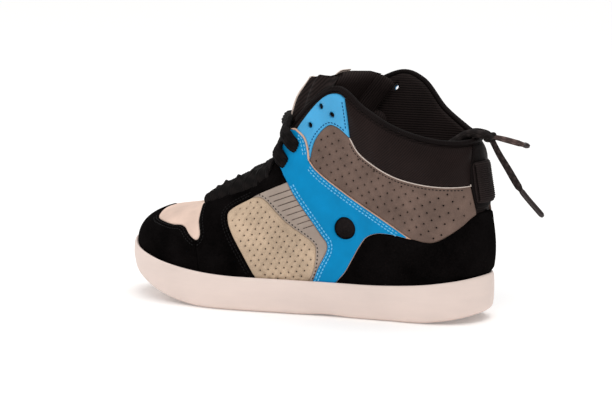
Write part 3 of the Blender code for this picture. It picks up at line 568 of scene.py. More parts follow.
def cut_shape(loop, holes, rings, spacing):
    """Triangles over a loop less its holes: (u, v) points and corners."""
    by_u, by_v = NET.slopes(loop)
    per_u, per_v = np.linalg.norm(by_u, axis=1).mean(), np.linalg.norm(by_v, axis=1).mean()
    low, high = loop.min(0), loop.max(0)
    us = np.arange(low[0], high[0], spacing / per_u)
    vs = np.arange(low[1], high[1], spacing / per_v * 0.9)
    field = np.stack(np.meshgrid(us, vs), -1)
    field[1::2, :, 0] += spacing / per_u / 2
    field = field.reshape(-1, 2)
    field = field[inside(field, loop)]
    rim = np.concatenate([NET.at(edge) for edge in (loop, *holes)])
    field = field[nearest(NET.at(field), rim) > max(rings) * 1.3]
    points = [loop, *(set_in(loop, distance) for distance in rings), field]
    lines = [(i, (i + 1) % len(loop)) for i in range(len(loop))]
    start = sum(len(part) for part in points)
    for hole in holes:
        lines += [(start + i, start + (i + 1) % len(hole)) for i in range(len(hole))]
        start += len(hole)
    flat = np.concatenate((*points, *holes)) * (per_u, per_v)
    made = delaunay_2d_cdt([Vector(p) for p in flat], lines, [], 0, 1e-5)
    uv = np.array([tuple(p) for p in made[0]]) / (per_u, per_v)
    triangles = np.array(made[2])
    middle = uv[triangles].mean(1)
    keep = inside(middle, loop)
    for hole in holes:
        near = np.all(abs(middle - hole.mean(0)) < (np.ptp(hole, 0) * 0.6 + 1e-6), axis=1) & keep
        keep[near] &= ~inside(middle[near], hole)
    triangles = triangles[keep]
    used, triangles = np.unique(triangles, return_inverse=True)
    return uv[used], triangles.reshape(-1, 3)


def panel(name, loop, rise, materials, slot, nodes=(), spacing=2.2, holes=(), rings=(0.3, 0.8, 1.6),
          relief=None):
    """Closed piece over a loop on the net. rise(distance from its edge) is its height; holes go through.

    Materials may be one, or a list: face, cut edge, and a dark one that paints shade into the grooves of the
    relief.
    """
    loop = tidy_loop(loop)
    uv, triangles = cut_shape(loop, holes, rings, spacing)
    surface, normal = NET.at(uv), NET.normal(uv)
    reach = from_edge = nearest(surface, NET.at(loop))
    if len(holes):
        reach = np.minimum(reach, nearest(surface, np.concatenate([NET.at(h) for h in holes])) + HOLE_EDGE)
    bumps = relief(surface, reach) if relief is not None else np.zeros(len(reach))
    top = surface + normal * (rise(reach) + bumps)[:, None]
    bottom = NET.at(uv, PANEL_BASE)
    a, b, c = top[triangles].transpose(1, 0, 2)
    wrong = np.sum(np.cross(b - a, c - a) * normal[triangles[:, 0]], axis=1) < 0
    triangles[wrong] = triangles[wrong][:, ::-1]
    size = len(uv)
    pairs = np.concatenate((triangles[:, (0, 1)], triangles[:, (1, 2)], triangles[:, (2, 0)]))
    codes = np.sort(pairs, 1) @ (size, 1)
    code, count = np.unique(codes, return_counts=True)
    border_pairs = pairs[np.isin(codes, code[count == 1])]
    walls = [(b, a, a + size, b + size) for a, b in border_pairs.tolist()]
    faces = triangles.tolist() + (triangles[:, ::-1] + size).tolist() + walls
    kinds = None
    if isinstance(materials, (list, tuple)):
        face_kinds = np.all(from_edge[triangles] < rings[0] * 1.2, axis=1).astype(int)
        if len(materials) > 2:
            # faces deep in a pressed line get the third material: painted shade in the groove
            face_kinds[bumps[triangles].mean(1) < GROOVE_SHADE_DEPTH] = 2
        wall_kinds = (from_edge[border_pairs[:, 0]] < 0.2).astype(int)
        kinds = np.concatenate((face_kinds, 0 * face_kinds, wall_kinds))
    return add_piece(name, np.concatenate((top, bottom)), faces, materials, slot, nodes, kinds)


def flat_rise(thick, soft=0.9):
    """Height of a cut panel: a rounded edge, then its thickness."""
    return lambda d: thick * (0.45 + 0.55 * (1 - (1 - np.clip(d / soft, 0, 1)) ** 2.2))


def stitch_row(uv, lift, pitch, length, radius):
    """Points and faces of one row of raised stitches along a (u, v) path."""
    run = run_along(NET.at(uv))
    marks = np.arange(pitch / 2, run[-1], pitch)
    places, ahead, behind = (read_along(marks + shift, run, uv) for shift in (0, 0.4, -0.4))
    centres, up = NET.at(places, lift), NET.normal(places)
    along = unit(NET.at(ahead) - NET.at(behind))
    across = np.cross(up, along)
    ring = np.linspace(0, 2 * pi, 6, endpoint=False)
    points, faces = [], []
    for centre, a, b, n in zip(centres, along, across, up):
        faces += tube_faces(len(STITCH_FORM), len(ring), len(points))
        for shift, wide, sink in STITCH_FORM:
            middle = centre + a * shift * length + n * sink * radius
            points += [middle + radius * wide * (b * cos(t) + n * sin(t)) for t in ring]
    return points, faces


def stitches(name, kind, rows, material, slot):
    """One piece of all rows of a seam: each row is (u, v path, height above the net)."""
    points, faces = [], []
    for uv, lift in rows:
        new_points, new_faces = stitch_row(uv, lift, *SEAMS[kind][1])
        faces += [[k + len(points) for k in face] for face in new_faces]
        points += new_points
    return add_piece(name, points, faces, material, slot)


def beside(uv, distance):
    """A path moved sideways along the surface: positive is to the left, seen from outside with v up."""
    space, normal = NET.at(uv), NET.normal(uv)
    along = unit(np.gradient(space, axis=0))
    return NET.step(uv, np.cross(normal, along) * -distance)


def sweep(path, across, section, closed=False):
    """Grid of points: a section (width, height) carried along a path whose width lies along across."""
    along = unit(np.roll(path, -1, 0) - np.roll(path, 1, 0) if closed else np.gradient(path, axis=0))
    wide = unit(across - along * np.sum(across * along, -1, keepdims=True))
    high = np.cross(along, wide)
    return path[:, None] + wide[:, None] * section[None, :, :1] + high[:, None] * section[None, :, 1:]


def oval(width, height, count, power=2.6):
    """Section of a strip: round at power 2, squarer with more."""
    angles = np.linspace(0, 2 * pi, count, endpoint=False)
    turn = np.stack((np.cos(angles), np.sin(angles)), -1)
    return np.sign(turn) * abs(turn) ** (2 / power) * (width, height) / 2


def rod(name, path, across, section, material, slot, nodes=(), girth=1.0):
    """Closed cord or strip along an open path, its ends rounded off; girth scales it along its length."""
    ends = np.concatenate(([0.55, 0.85], np.ones(len(path) - 4), [0.85, 0.55])) * girth
    points = sweep(path, across, section)
    points = path[:, None] + (points - path[:, None]) * ends[:, None, None]
    rows, columns = points.shape[:2]
    uvs = strand_uvs(run_along(path) * MM * 100, columns)
    return add_piece(name, points, tube_faces(rows, columns), material, slot, nodes, uvs=uvs)


def strand_uvs(along, columns):
    """Length and girth of a cord at each of its points, for its braid."""
    return np.stack(np.meshgrid(along, np.linspace(0, 1, columns), indexing="ij"), -1).reshape(-1, 2)


def edge_strip(kind, ending, uv, material, slot):
    """Thin raised edge along a (u, v) path."""
    lift, width, height = EDGES[kind]
    path = even(np.column_stack((NET.at(uv, lift), uv)), 1.2)
    space, spots = path[:, :3], path[:, 3:]
    across = np.cross(NET.normal(spots), np.gradient(space, axis=0))
    rod(f"{kind}_{ending}", space, across, oval(width, height, 8), material, slot)


# Materials

class Value:
    """A node's output socket that can be used in sums."""

    def __init__(self, nodes, socket):
        self.nodes, self.socket = nodes, socket

    def maths(self, operation, first, second):
        return self.nodes.node("ShaderNodeMath", {"operation": operation}, {0: first, 1: second})

    def __add__(self, other):
        return self.maths("ADD", self, other)

    def __sub__(self, other):
        return self.maths("SUBTRACT", self, other)

    def __rsub__(self, other):
        return self.maths("SUBTRACT", other, self)

    def __mul__(self, other):
        return self.maths("MULTIPLY", self, other)

    __radd__, __rmul__ = __add__, __mul__


class Nodes:
    """The nodes of one material or of the world."""

    def __init__(self, tree):
        self.tree = tree

    def node(self, kind, settings, sockets, output=0):
        """A new node of a type, with its settings and the values or links of its sockets."""
        made = self.tree.nodes.new(kind)
        for key, value in settings.items():
            if key == "stops":
                ends = made.color_ramp.elements[0], made.color_ramp.elements[-1]
                for stop, (spot, colour) in zip(ends, value):
                    stop.position, stop.color = spot, (*colour, 1)
            else:
                setattr(made, key, value)
        for key, value in sockets.items():
            self.fill(made.inputs[key], value)
        return Value(self, made.outputs[output])

    def fill(self, socket, value):
        if isinstance(value, Value):
            self.tree.links.new(value.socket, socket)
        else:
            socket.default_value = value


class Finish(Nodes):
    """One material: constants on its shader's sockets, then textures fed into them."""

    def __init__(self, name, roughness=0.6, **constants):
        self.material = bpy.data.materials.new(name)
        self.material.use_nodes = True
        super().__init__(self.material.node_tree)
        self.shader = self.tree.nodes["Principled BSDF"]
        self.feed("Roughness", roughness)
        for socket, value in constants.items():
            self.feed(socket.replace("_", " "), value)
        self.place = self.node("ShaderNodeTexCoord", {}, {}, "Object")

    def feed(self, socket, value):
        self.fill(self.shader.inputs[socket], value)

    def noise(self, scale, detail=3.0, rough=0.55, stretch=None):
        place = self.place
        if stretch:
            place = self.node("ShaderNodeMapping", {}, {"Vector": place, "Scale": stretch})
        sockets = {"Vector": place, "Scale": scale, "Detail": detail, "Roughness": rough}
        return self.node("ShaderNodeTexNoise", {}, sockets)

    def grain(self, scale):
        sockets = {"Vector": self.place, "Scale": scale}
        return self.node("ShaderNodeTexVoronoi", {"feature": "SMOOTH_F1"}, sockets)

    def colours(self, factor, low, high, start=0.3, end=0.7):
        """Base colour from low to high as the factor goes from start to end."""
        ramp = self.node("ShaderNodeValToRGB", {"stops": ((start, low), (end, high))}, {"Fac": factor})
        self.feed("Base Color", ramp)

    def bump(self, height, strength, distance):
        sockets = {"Height": height, "Strength": strength, "Distance": distance * MM}
        self.feed("Normal", self.node("ShaderNodeBump", {}, sockets))


# Scale of a wave texture for lines one millimetre apart, and how deep ribbed cloth is
WAVE_PER_MM, RIB_CLOTH_DEPTH = 314.16, 0.35


def tint(colour, factor):
    return tuple(min(1.0, c * factor) for c in colour)


def leather(name, colour, roughness, grain_size=0.9, depth=0.12, coat=0.0, gloss=0.3, speckle=0.0):
    """Smooth finished leather: fine pebbles, faint cloudy colour."""
    finish = Finish(name, roughness, Coat_Weight=coat, Coat_Roughness=0.25, Specular_IOR_Level=gloss)
    cloud = finish.noise(55, 4)
    specks = finish.noise(2000, 2)
    dark, light = tint(colour, 0.8 - 0.5 * speckle), tint(colour, 1.17 + 0.4 * speckle)
    finish.colours(cloud * 0.55 + specks * speckle + (0.45 - speckle) * 0.5, dark, light)
    pebbles = finish.grain(1000 / grain_size)
    creases = finish.noise(180, 3)
    finish.feed("Roughness", roughness - 0.1 + cloud * 0.14 + pebbles * 0.12)
    finish.bump(pebbles * 0.7 + creases * 0.9, 0.55, depth)
    return finish.material


def suede(name, colour):
    """Brushed nap: short fibres, patches lying different ways, no gloss."""
    finish = Finish(name, 0.96, Sheen_Weight=0.004, Sheen_Roughness=0.5, Specular_IOR_Level=0.0)
    patches = finish.noise(38, 3)
    fibres = finish.noise(900, 3, 0.7)
    finish.colours(patches * 0.55 + fibres * 0.5, tint(colour, 0.2), tint(colour, 3.0), 0.34, 0.8)
    finish.bump(fibres + patches * 0.5, 0.75, 0.3)
    return finish.material


def cloth(name, colour, thread=1.1, depth=0.16, sheen=0.01, roughness=0.8, ribs=None, contrast=1.0):
    """Woven cloth; ribs is the spacing of raised lines up the wall, in millimetres."""
    finish = Finish(name, roughness, Sheen_Weight=sheen, Sheen_Roughness=0.4, Specular_IOR_Level=0.05)
    patches = finish.noise(30, 3)
    lines = finish.node("ShaderNodeTexWave", {"bands_direction": "Z" if ribs else "DIAGONAL"},
                        {"Vector": finish.place, "Scale": WAVE_PER_MM / (ribs or thread), "Distortion": 1.2,
                         "Detail": 2.0, "Detail Scale": 1.5})
    threads = finish.noise(1500, 2, 0.6)
    dark, light = tint(colour, 1 - 0.65 * contrast), tint(colour, 1 + 0.75 * contrast)
    finish.colours(patches * 0.4 + lines * 0.35 + threads * 0.25, dark, light, 0.25, 0.75)
    finish.bump(lines * 0.8 + threads * 0.6, 0.6, RIB_CLOTH_DEPTH if ribs else depth)
    return finish.material


def braid(name, colour, across=9.0, along=30.0, depth=0.3):
    """Braided cord: slanting strands worked out from the piece's own length and girth."""
    finish = Finish(name, 0.75, Sheen_Weight=0.015, Specular_IOR_Level=0.08)
    place = finish.node("ShaderNodeTexCoord", {}, {}, "UV")
    waves = []
    for slant in (1, -1):
        turned = finish.node("ShaderNodeMapping", {}, {"Vector": place, "Scale": (along, across * slant, 1)})
        waves.append(finish.node("ShaderNodeTexWave", {"bands_direction": "DIAGONAL"},
                                 {"Vector": turned, "Scale": 0.25, "Distortion": 0.3}))
    strands = waves[0] * waves[1]
    finish.colours(strands + finish.noise(700, 2) * 0.3, tint(colour, 0.55), tint(colour, 1.6), 0.05, 0.9)
    finish.bump(strands, 0.8, depth)
    return finish.material


def rubber(name, colour):
    """Pale moulded rubber with faint scuffs."""
    finish = Finish(name, 0.5, Specular_IOR_Level=0.4)
    cloud = finish.noise(16, 4)
    scuffs = finish.noise(70, 5, 0.65, (0.25, 0.25, 1.6))
    finish.colours(cloud * 0.6 + scuffs * 0.4, tint(colour, 0.93), tint(colour, 1.03), 0.35, 0.62)
    finish.feed("Roughness", 0.38 + scuffs * 0.25)
    finish.bump(finish.noise(900, 2) * 0.4 + scuffs * 0.5, 0.3, 0.1)
    return finish.material


def thread(name, colour):
    """Sewing thread, a little uneven in colour."""
    finish = Finish(name, 0.6, Sheen_Weight=0.03, Specular_IOR_Level=0.1)
    finish.colours(finish.noise(900, 2), tint(colour, 0.7), tint(colour, 1.25))
    return finish.material


RUBBER = rubber("sole_rubber", (0.775, 0.64, 0.58))
SUEDE = suede("black_suede", (0.0027, 0.0022, 0.0022))
BLUE = leather("wing_blue_leather", (0.0, 0.232, 0.50), 0.48, 0.8, 0.1, gloss=0.08)
LIGHT_BLUE = leather("tip_blue_leather", (0.045, 0.355, 0.66), 0.36, 0.8, 0.1, 0.1)
TAUPE = leather("quarter_taupe_leather", (0.152, 0.1, 0.08), 0.62, 0.7, 0.14, gloss=0.15, speckle=0.45)
BEIGE = leather("vamp_beige_leather", (0.525, 0.39, 0.275), 0.62, 0.7, 0.14, gloss=0.15, speckle=0.45)
GREY = leather("rib_grey_leather", (0.36, 0.29, 0.245), 0.55, 0.7, 0.1, gloss=0.15)
# Near-black copy of the grey leather for the floors of the pressed lines: painted shade in the grooves
GREY_GROOVE_SHADE = leather("rib_grey_painted_groove_shade", (0.09, 0.07, 0.06), 0.8, 0.7, 0.1, gloss=0.05)
PALE = leather("toe_pale_leather", (0.75, 0.56, 0.465), 0.5, 0.9, 0.12, gloss=0.2)
RAW_EDGE = leather("raw_edge", (0.62, 0.40, 0.30), 0.8, 0.5, 0.1)
PALE_EDGE = leather("pale_edge", (0.66, 0.56, 0.50), 0.8, 0.5, 0.1)
COLLAR_CLOTH = cloth("collar_cloth", (0.0125, 0.0076, 0.007), 1.2, 0.16, 0.008, 0.5)
BINDING_CLOTH = cloth("binding_cloth", (0.0065, 0.0042, 0.004), 1.0, 0.1, 0.005, 0.6)
LINING = cloth("lining_cloth", (0.012, 0.0078, 0.0072), sheen=0.006, roughness=0.6, ribs=1.75)
# Dark woven cloth, lighter than the lining: its extra lightness is painted light falling on the tongue; the
# ankle roll and the edge tape share it
TONGUE_CLOTH_LIGHTENED = cloth("tongue_cloth_painted_light", (0.0155, 0.0104, 0.0096), 1.4, 0.18, 0.008, 0.6)
TONGUE_PALE = cloth("tongue_pale_cloth", (0.66, 0.54, 0.47), 1.2, 0.14, 0.02, 0.8, contrast=0.12)
INSOLE_CLOTH = cloth("insole_cloth", (0.03, 0.028, 0.028), 1.4, 0.15, 0.02, 0.85)
WEBBING = cloth("webbing", (0.0062, 0.0043, 0.0041), 0.9, 0.12, 0.005, 0.7)
LOOP_WEBBING = cloth("loop_webbing", (0.0185, 0.013, 0.0124), sheen=0.008, roughness=0.7, ribs=LOOP_RIB_PITCH)
INLAY = suede("inlay_black", (0.0075, 0.006, 0.006))
LACE = braid("lace_black", (0.0052, 0.0038, 0.0036), 7.0, 3.2)
LACE_ROUND = braid("lace_round", (0.075, 0.05, 0.045), 3.0, 3.2)
LACE_BROWN = braid("lace_round_brown", (0.024, 0.017, 0.016), 4.0, 4.5)
LACE_DARK = braid("lace_round_dark", (0.014, 0.0105, 0.0098), 3.0, 3.2)
LACE_FINISH = {"lace_run_lateral": LACE_DARK, "lace_run_medial": LACE_DARK, "lace_end_upper": LACE_ROUND,
               "lace_end_lower": LACE_BROWN}
AGLET = leather("aglet_film", (0.017, 0.008, 0.0075), 0.25, 0.5, 0.01, 0.35)
BLUE_THREAD = thread("thread_blue", (0.16, 0.52, 0.80))
DARK_THREAD = thread("thread_dark_blue", (0.0, 0.05, 0.16))
GREY_THREAD = thread("thread_grey", (0.012, 0.0095, 0.009))
BLACK_THREAD = thread("thread_black", (0.003, 0.0024, 0.0024))

# Heights of the panels above the net, in millimetres
RISE = {"toe_panel": 1.4, "toe_mudguard": 2.0, "lace_stay": 2.2, "vamp_panel": 1.3, "rib_panel": 1.7,
        "side_wing": 2.6, "eyestay_tip": 1.9, "quarter_panel": 1.5, "heel_counter": 2.3, "round_inlay": 1.5,
        "backstay": 2.0}
SIDES = (("lateral", 1), ("medial", -1))
# Pressed lines of the grey strip: start in the side view, way they follow on, spacing and number
RIB_START, RIB_WAY, RIB_PITCH, RIB_COUNT = (10.0, 86.5), np.array((-0.357, -0.934)), 4.3, 8
# Depth and half width of a line, swell between lines, and the bare margin along the strip's front
RIB_DEPTH, RIB_HALF, RIB_SWELL, RIB_MARGIN = 1.15, 0.42, 0.25, 3.6
# A pressed line deeper than this takes the dark groove material: painted shade in the groove
GROOVE_SHADE_DEPTH = -0.55
# Punched holes: spacing along a row, radius, bare margin, slant of the rows, row spacing as a share
PUNCH = {"vamp_panel": (6.2, 0.7, 3.2, -0.16, 0.62), "quarter_panel": (9.3, 0.74, 3.0, 0.27, 0.45)}
# Padded collar: height at its edge, how far it swells, and over which distance
COLLAR_EDGE, COLLAR_SWELL, COLLAR_SOFT = 0.7, 3.6, 6.0


def chain(parts, side):
    """Loop through borders ("-" for backwards) and free (u, v) points."""
    pieces = []
    for part in parts:
        if isinstance(part, str):
            pieces.append(border(part.lstrip("-"), side, part.startswith("-")))
        else:
            u, v = part
            pieces.append(np.array([(u if side > 0 else STATIONS - u, v)]))
    return np.concatenate(pieces)


def mirrored(uv, around=STATIONS):
    """The same path on the other side of the shoe."""
    return np.column_stack((around - uv[:, 0], uv[:, 1]))[::-1]


def punched(kind, loop, side):
    """Staggered small holes over a panel, in rows of the side view."""
    pitch, radius, margin, slant, row = PUNCH[kind]
    space = NET.at(tidy_loop(loop))
    low, high = space.min(0), space.max(0)
    spots = []
    for number, z in enumerate(np.arange(low[2] - 80, high[2] + 80, pitch * row)):
        for x in np.arange(low[0] - 80, high[0] + 80, pitch):
            along = x + (pitch / 2 if number % 2 else 0)
            spots.append((along * cos(slant) - z * sin(slant), along * sin(slant) + z * cos(slant)))
    spots = np.array(spots)
    spots = spots[inside(spots, space[:, (0, 2)])]
    uv = NET.find(spots, side)
    clear = nearest(NET.at(uv), space) > margin
    return [round_hole(spot, radius, 8) for spot in uv[clear]]


def flap_eyelets(side):
    """Centres of the open eyelets of a flap in (u, v)."""
    return NET.find(side_view(EYELETS, side), side) if side > 0 else np.array(EYELETS_INNER)


def cut_panel(kind, ending, loop, materials, slot, soft=0.9, **rest):
    """A flat panel that stands for its solid: kind and side make its name."""
    name = f"{kind}_{ending}" if ending else kind
    return panel(name, loop, flat_rise(RISE[kind], soft), materials, slot, [name], **rest)


def make_side_panels():
    """The panels that both sides have, each cut from the net by its borders."""
    for ending, side in SIDES:
        vamp = chain(("rib_front", "vamp_front"), side)
        cut_panel("vamp_panel", ending, vamp, BEIGE, "beige_leather", holes=punched("vamp_panel", vamp, side))
        make_rib_panel(ending, side)
        make_wing(ending, side)
        make_tip(ending, side)
        quarter = chain(("tip_arch", "quarter_top", "-counter_top", "wing_back"), side)
        quarter = clear_of_backstay(quarter, side)
        cut_panel("quarter_panel", ending, quarter, TAUPE, "taupe_leather",
                  holes=punched("quarter_panel", quarter, side))
        make_collar(ending, side)
        make_side_seams(ending, side)


def make_wing(ending, side):
    """Blue side wing and the round inlay in it."""
    wing = chain(("-wing_top", "wing_front", "wing_low", "wing_back", "wing_tip", WING_CORNER), side)
    centre = NET.find(side_view([INLAY_CENTRE], side), side)[0]
    cut_panel("side_wing", ending, wing, [BLUE, RAW_EDGE], "blue_leather",
              holes=[round_hole(centre, INLAY_RADIUS, 40)], rings=(0.35, 0.9, 1.8))
    disc = round_hole(centre, INLAY_RADIUS - 0.2, 40)
    cut_panel("round_inlay", ending, disc, INLAY, "black_inlay", 1.5, spacing=1.5)


def make_tip(ending, side):
    """Pale blue tip of the flap, with a ring pressed round each open eyelet."""
    tip = chain(("wing_tip", "-tip_front", "-tip_rear", "-tip_arch"), side)
    eyelets = flap_eyelets(side)
    centres = NET.at(eyelets)

    def pressed(surface, reach):
        away = nearest(surface, centres)
        return sum(rise * np.exp(-((away - radius) / half) ** 2) for rise, radius, half in EYELET_RINGS)

    holes = [round_hole(spot, EYELET_RADIUS * 1.12, 24) for spot in eyelets]
    cut_panel("eyestay_tip", ending, tip, LIGHT_BLUE, "light_blue_leather", holes=holes, spacing=0.9,
              relief=pressed)


def backstay_half(v):
    """Half width of the heel strip in stations: it narrows towards the rim."""
    return np.interp(v, *zip(*BACKSTAY_HALF))


def clear_of_backstay(loop, side):
    """A loop kept beside the heel strip."""
    loop = loop.copy()
    free = backstay_half(loop[:, 1]) + 0.02
    loop[:, 0] = np.maximum(loop[:, 0], free) if side > 0 else np.minimum(loop[:, 0], STATIONS - free)
    return loop


def make_rib_panel(ending, side):
    """Grey strip with narrow pressed lines across it, their floors darkened with painted shade, smooth at its
    lower end.
    """
    loop = chain(("-rib_front", "rib_top", "wing_front"), side)
    front = NET.at(border("rib_front", side))

    def ribs(surface, reach):
        run = (surface[:, (0, 2)] - RIB_START) @ RIB_WAY
        off_line = abs(run - RIB_PITCH * np.round(run / RIB_PITCH))
        fade = np.clip((nearest(surface, front) - RIB_MARGIN) / 0.8, 0, 1) * np.clip((run + 1) / 0.5, 0, 1)
        fade *= np.clip((RIB_PITCH * (RIB_COUNT - 0.5) - run) / 0.5, 0, 1)
        swell = RIB_SWELL * np.cos(run / RIB_PITCH * pi) ** 4
        return fade * (swell - RIB_DEPTH * np.exp(-(off_line / RIB_HALF) ** 2))

    # the third material paints shade into the deep pressed lines
    cut_panel("rib_panel", ending, loop, [GREY, GREY, GREY_GROOVE_SHADE], "grey_rib", spacing=0.45, rings=(0.3,),
              relief=ribs)


def make_collar(ending, side):
    """Padded ankle collar, swelling between its seam and the rim."""
    top = [(u, COLLAR_LEVEL) for u in np.linspace(COLLAR_END, backstay_half(COLLAR_LEVEL), 60)]
    loop = clear_of_backstay(chain(("tip_rear", *top, "-quarter_top"), side), side)

    def swell(reach):
        return COLLAR_EDGE + COLLAR_SWELL * (1 - np.exp(-reach / COLLAR_SOFT))

    def soft(surface, reach):
        x, z = surface[:, 0], surface[:, 2]
        folds = np.sin(x * 0.21 + z * 0.13) + 0.7 * np.sin(x * 0.47)
        return 0.22 * folds * np.clip(reach / 8, 0, 1)

    name = f"collar_{ending}"
    piece = panel(name, loop, swell, COLLAR_CLOTH, "collar_fabric", [name], relief=soft)


def seam(kind, path, way, lift):
    """Rows of a seam beside a path: way is 1 for its left and -1 for its right, seen from outside."""
    return [(beside(path, way * distance), lift) for distance in SEAMS[kind][0]]


def make_side_seams(ending, side):
    """Thread rows beside the borders, and the cut edges of the wing and the quarter."""
    wing, tip, rib, quarter = (RISE[kind] + STITCH_STAND
                               for kind in ("side_wing", "eyestay_tip", "rib_panel", "quarter_panel"))
    back, front, wing_tip = (border(name, side) for name in ("wing_back", "wing_front", "wing_tip"))
    rows = [row for path in (back, front, wing_tip) for row in seam("wing", path[3:-3], -side, wing)]
    stitches(f"wing_stitches_{ending}", "wing", rows, BLUE_THREAD, "blue_leather")
    edge_strip("wing_tip_edge", ending, chain(("wing_tip", TIP_CORNER), side), RAW_EDGE, "blue_leather")
    edge_strip("wing_back_edge", ending, back[4:], RAW_EDGE, "blue_leather")
    rows = seam("tip", border("tip_arch", side)[4:-4], -side, tip)
    rows += seam("tip", border("tip_rear", side)[3:-2], -side, tip)
    stitches(f"tip_stitches_{ending}", "tip", rows, DARK_THREAD, "light_blue_leather")
    rows = seam("rib", border("rib_front", side)[4:-8], -side, rib)
    stitches(f"rib_stitches_{ending}", "rib", rows, GREY_THREAD, "grey_rib")
    top = clear_of_backstay(border("quarter_top", side), side)
    stitches(f"quarter_stitches_{ending}", "quarter", seam("quarter", top[2:-6], side, quarter), GREY_THREAD,
             "taupe_leather")
    edge_strip("quarter_edge", ending, top, PALE_EDGE, "taupe_leather")


def make_toe():
    """Pale toe panel, suede mudguard and the suede stay on each side of the throat."""
    centre = np.array(TOE_CAP_CENTRE)
    cap = np.concatenate((centre, border("toe_cap_top", 1)))
    cap_inner = mirrored(np.concatenate((centre[1:], mirrored(border("toe_cap_top", -1))[::-1])))
    lip = np.concatenate((border("stay_front", 1, True), [(STAY_END, TOE_LIP_LEVEL)]))
    lip_inner = np.concatenate(([(STATIONS - STAY_END, TOE_LIP_LEVEL)], border("stay_front", -1)))
    rim = np.array([(u, TOE_LIP_LEVEL) for u in np.linspace(STAY_END, STATIONS - STAY_END, 50)[1:-1]])
    toe = np.concatenate((cap, lip[1:], rim, lip_inner, cap_inner[:-1]))
    cut_panel("toe_panel", "", toe, PALE, "toe_leather")
    guard = np.concatenate((border("stay_foot", 1, True), cap[::-1], cap_inner[::-1],
                            border("stay_foot", -1)))
    cut_panel("toe_mudguard", "", guard, SUEDE, "black_suede", 1.3)
    rows = []
    guard_top, stay_top = RISE["toe_mudguard"] + SUEDE_STITCH_STAND, RISE["lace_stay"] + SUEDE_STITCH_STAND
    for ending, side in SIDES:
        throat = [(u, TOP_LEVEL) for u in np.linspace(THROAT_START, STAY_END, 40)]
        stay = chain(("stay_front", "stay_foot", "vamp_front", "rib_top", "wing_top", *throat), side)
        cut_panel("lace_stay", ending, stay, SUEDE, "black_suede", 1.3)
        edge = cap if side > 0 else cap_inner[::-1]
        rows += seam("suede", edge[4:-2], side, guard_top)
        rows += seam("suede", border("stay_front", side)[2:-6], -side, stay_top)
        rows += seam("suede", border("vamp_front", side)[10:], -side, stay_top)
    stitches("suede_stitches", "suede", rows, BLACK_THREAD, "black_suede")


def make_heel():
    """Suede counter round the heel, and the webbing strip above it."""
    outer, inner = (chain(("wing_low", "counter_top"), side) for _, side in SIDES)
    inner[:, 0] -= STATIONS

    def stiffener(surface, reach):
        x, z = surface[:, 0], surface[:, 2]
        return HEEL_FILL * smooth(-x, *FILL_BACK) * smooth(z, *FILL_RISE) * (1 - smooth(z, *FILL_FADE))

    counter = np.concatenate((outer, inner[::-1]))
    cut_panel("heel_counter", "", counter, SUEDE, "black_suede", 1.3, relief=stiffener)
    low, high = BACKSTAY_ENDS
    levels = np.linspace(low, high, 30)
    right = np.column_stack((backstay_half(levels), levels))
    top = [(u, high) for u in np.linspace(right[-1, 0], -right[-1, 0], 12)]
    foot = [(u, low) for u in np.linspace(-right[0, 0], right[0, 0], 12)]
    strip = np.concatenate((right, top, mirrored(right, 0), foot))
    cut_panel("backstay", "", strip, WEBBING, "black_webbing", 1.2)


def make_pull_loop():
    """Flat webbing loop at the heel, ribbed across, its edges wrapping round the heel."""
    path = even(np.concatenate((spline(PULL_LOOP, 12, closed=True), [PULL_LOOP[0]])), LOOP_STEP)[:-1]
    path = np.column_stack((path[:, 0], 0 * path[:, 0], path[:, 1]))
    points = sweep(path, SIDEWAYS, oval(LOOP_WIDTH, WEBBING_THICK, 36, 6.0), closed=True)
    ribs = 0.9 + 0.45 * np.sin(np.arange(len(path)) * LOOP_STEP / LOOP_RIB_PITCH * 2 * pi)
    swell = np.stack((ribs, np.ones(len(path)), ribs), -1)[:, None]
    points = path[:, None] + (points - path[:, None]) * swell
    points[..., 0] += LOOP_WRAP * (points[..., 1] * 2 / LOOP_WIDTH) ** 2
    faces = hoop_faces(*points.shape[:2])
    add_piece("pull_loop", points, faces, LOOP_WEBBING, "black_webbing", ["pull_loop"])


def punch_eyelets(piece):
    """Cut the open eyelets of both flaps through the lining."""
    cutters = []
    for _, side in SIDES:
        for uv in flap_eyelets(side):
            centre, normal = NET.at(uv), NET.normal(uv)
            bpy.ops.mesh.primitive_cylinder_add(vertices=16, radius=EYELET_RADIUS * 1.2 * MM, depth=16 * MM,
                                                location=centre * MM)
            cutter = bpy.context.object
            cutter.rotation_euler = Vector(normal).to_track_quat("Z", "Y").to_euler()
            step = piece.modifiers.new("eyelet", "BOOLEAN")
            step.object, step.operation, step.solver = cutter, "DIFFERENCE", "EXACT"
            cutters.append(cutter)
    shape = piece.evaluated_get(bpy.context.evaluated_depsgraph_get())
    piece.data = bpy.data.meshes.new_from_object(shape)
    piece.modifiers.clear()
    for cutter in cutters:
        bpy.data.meshes.remove(cutter.data)


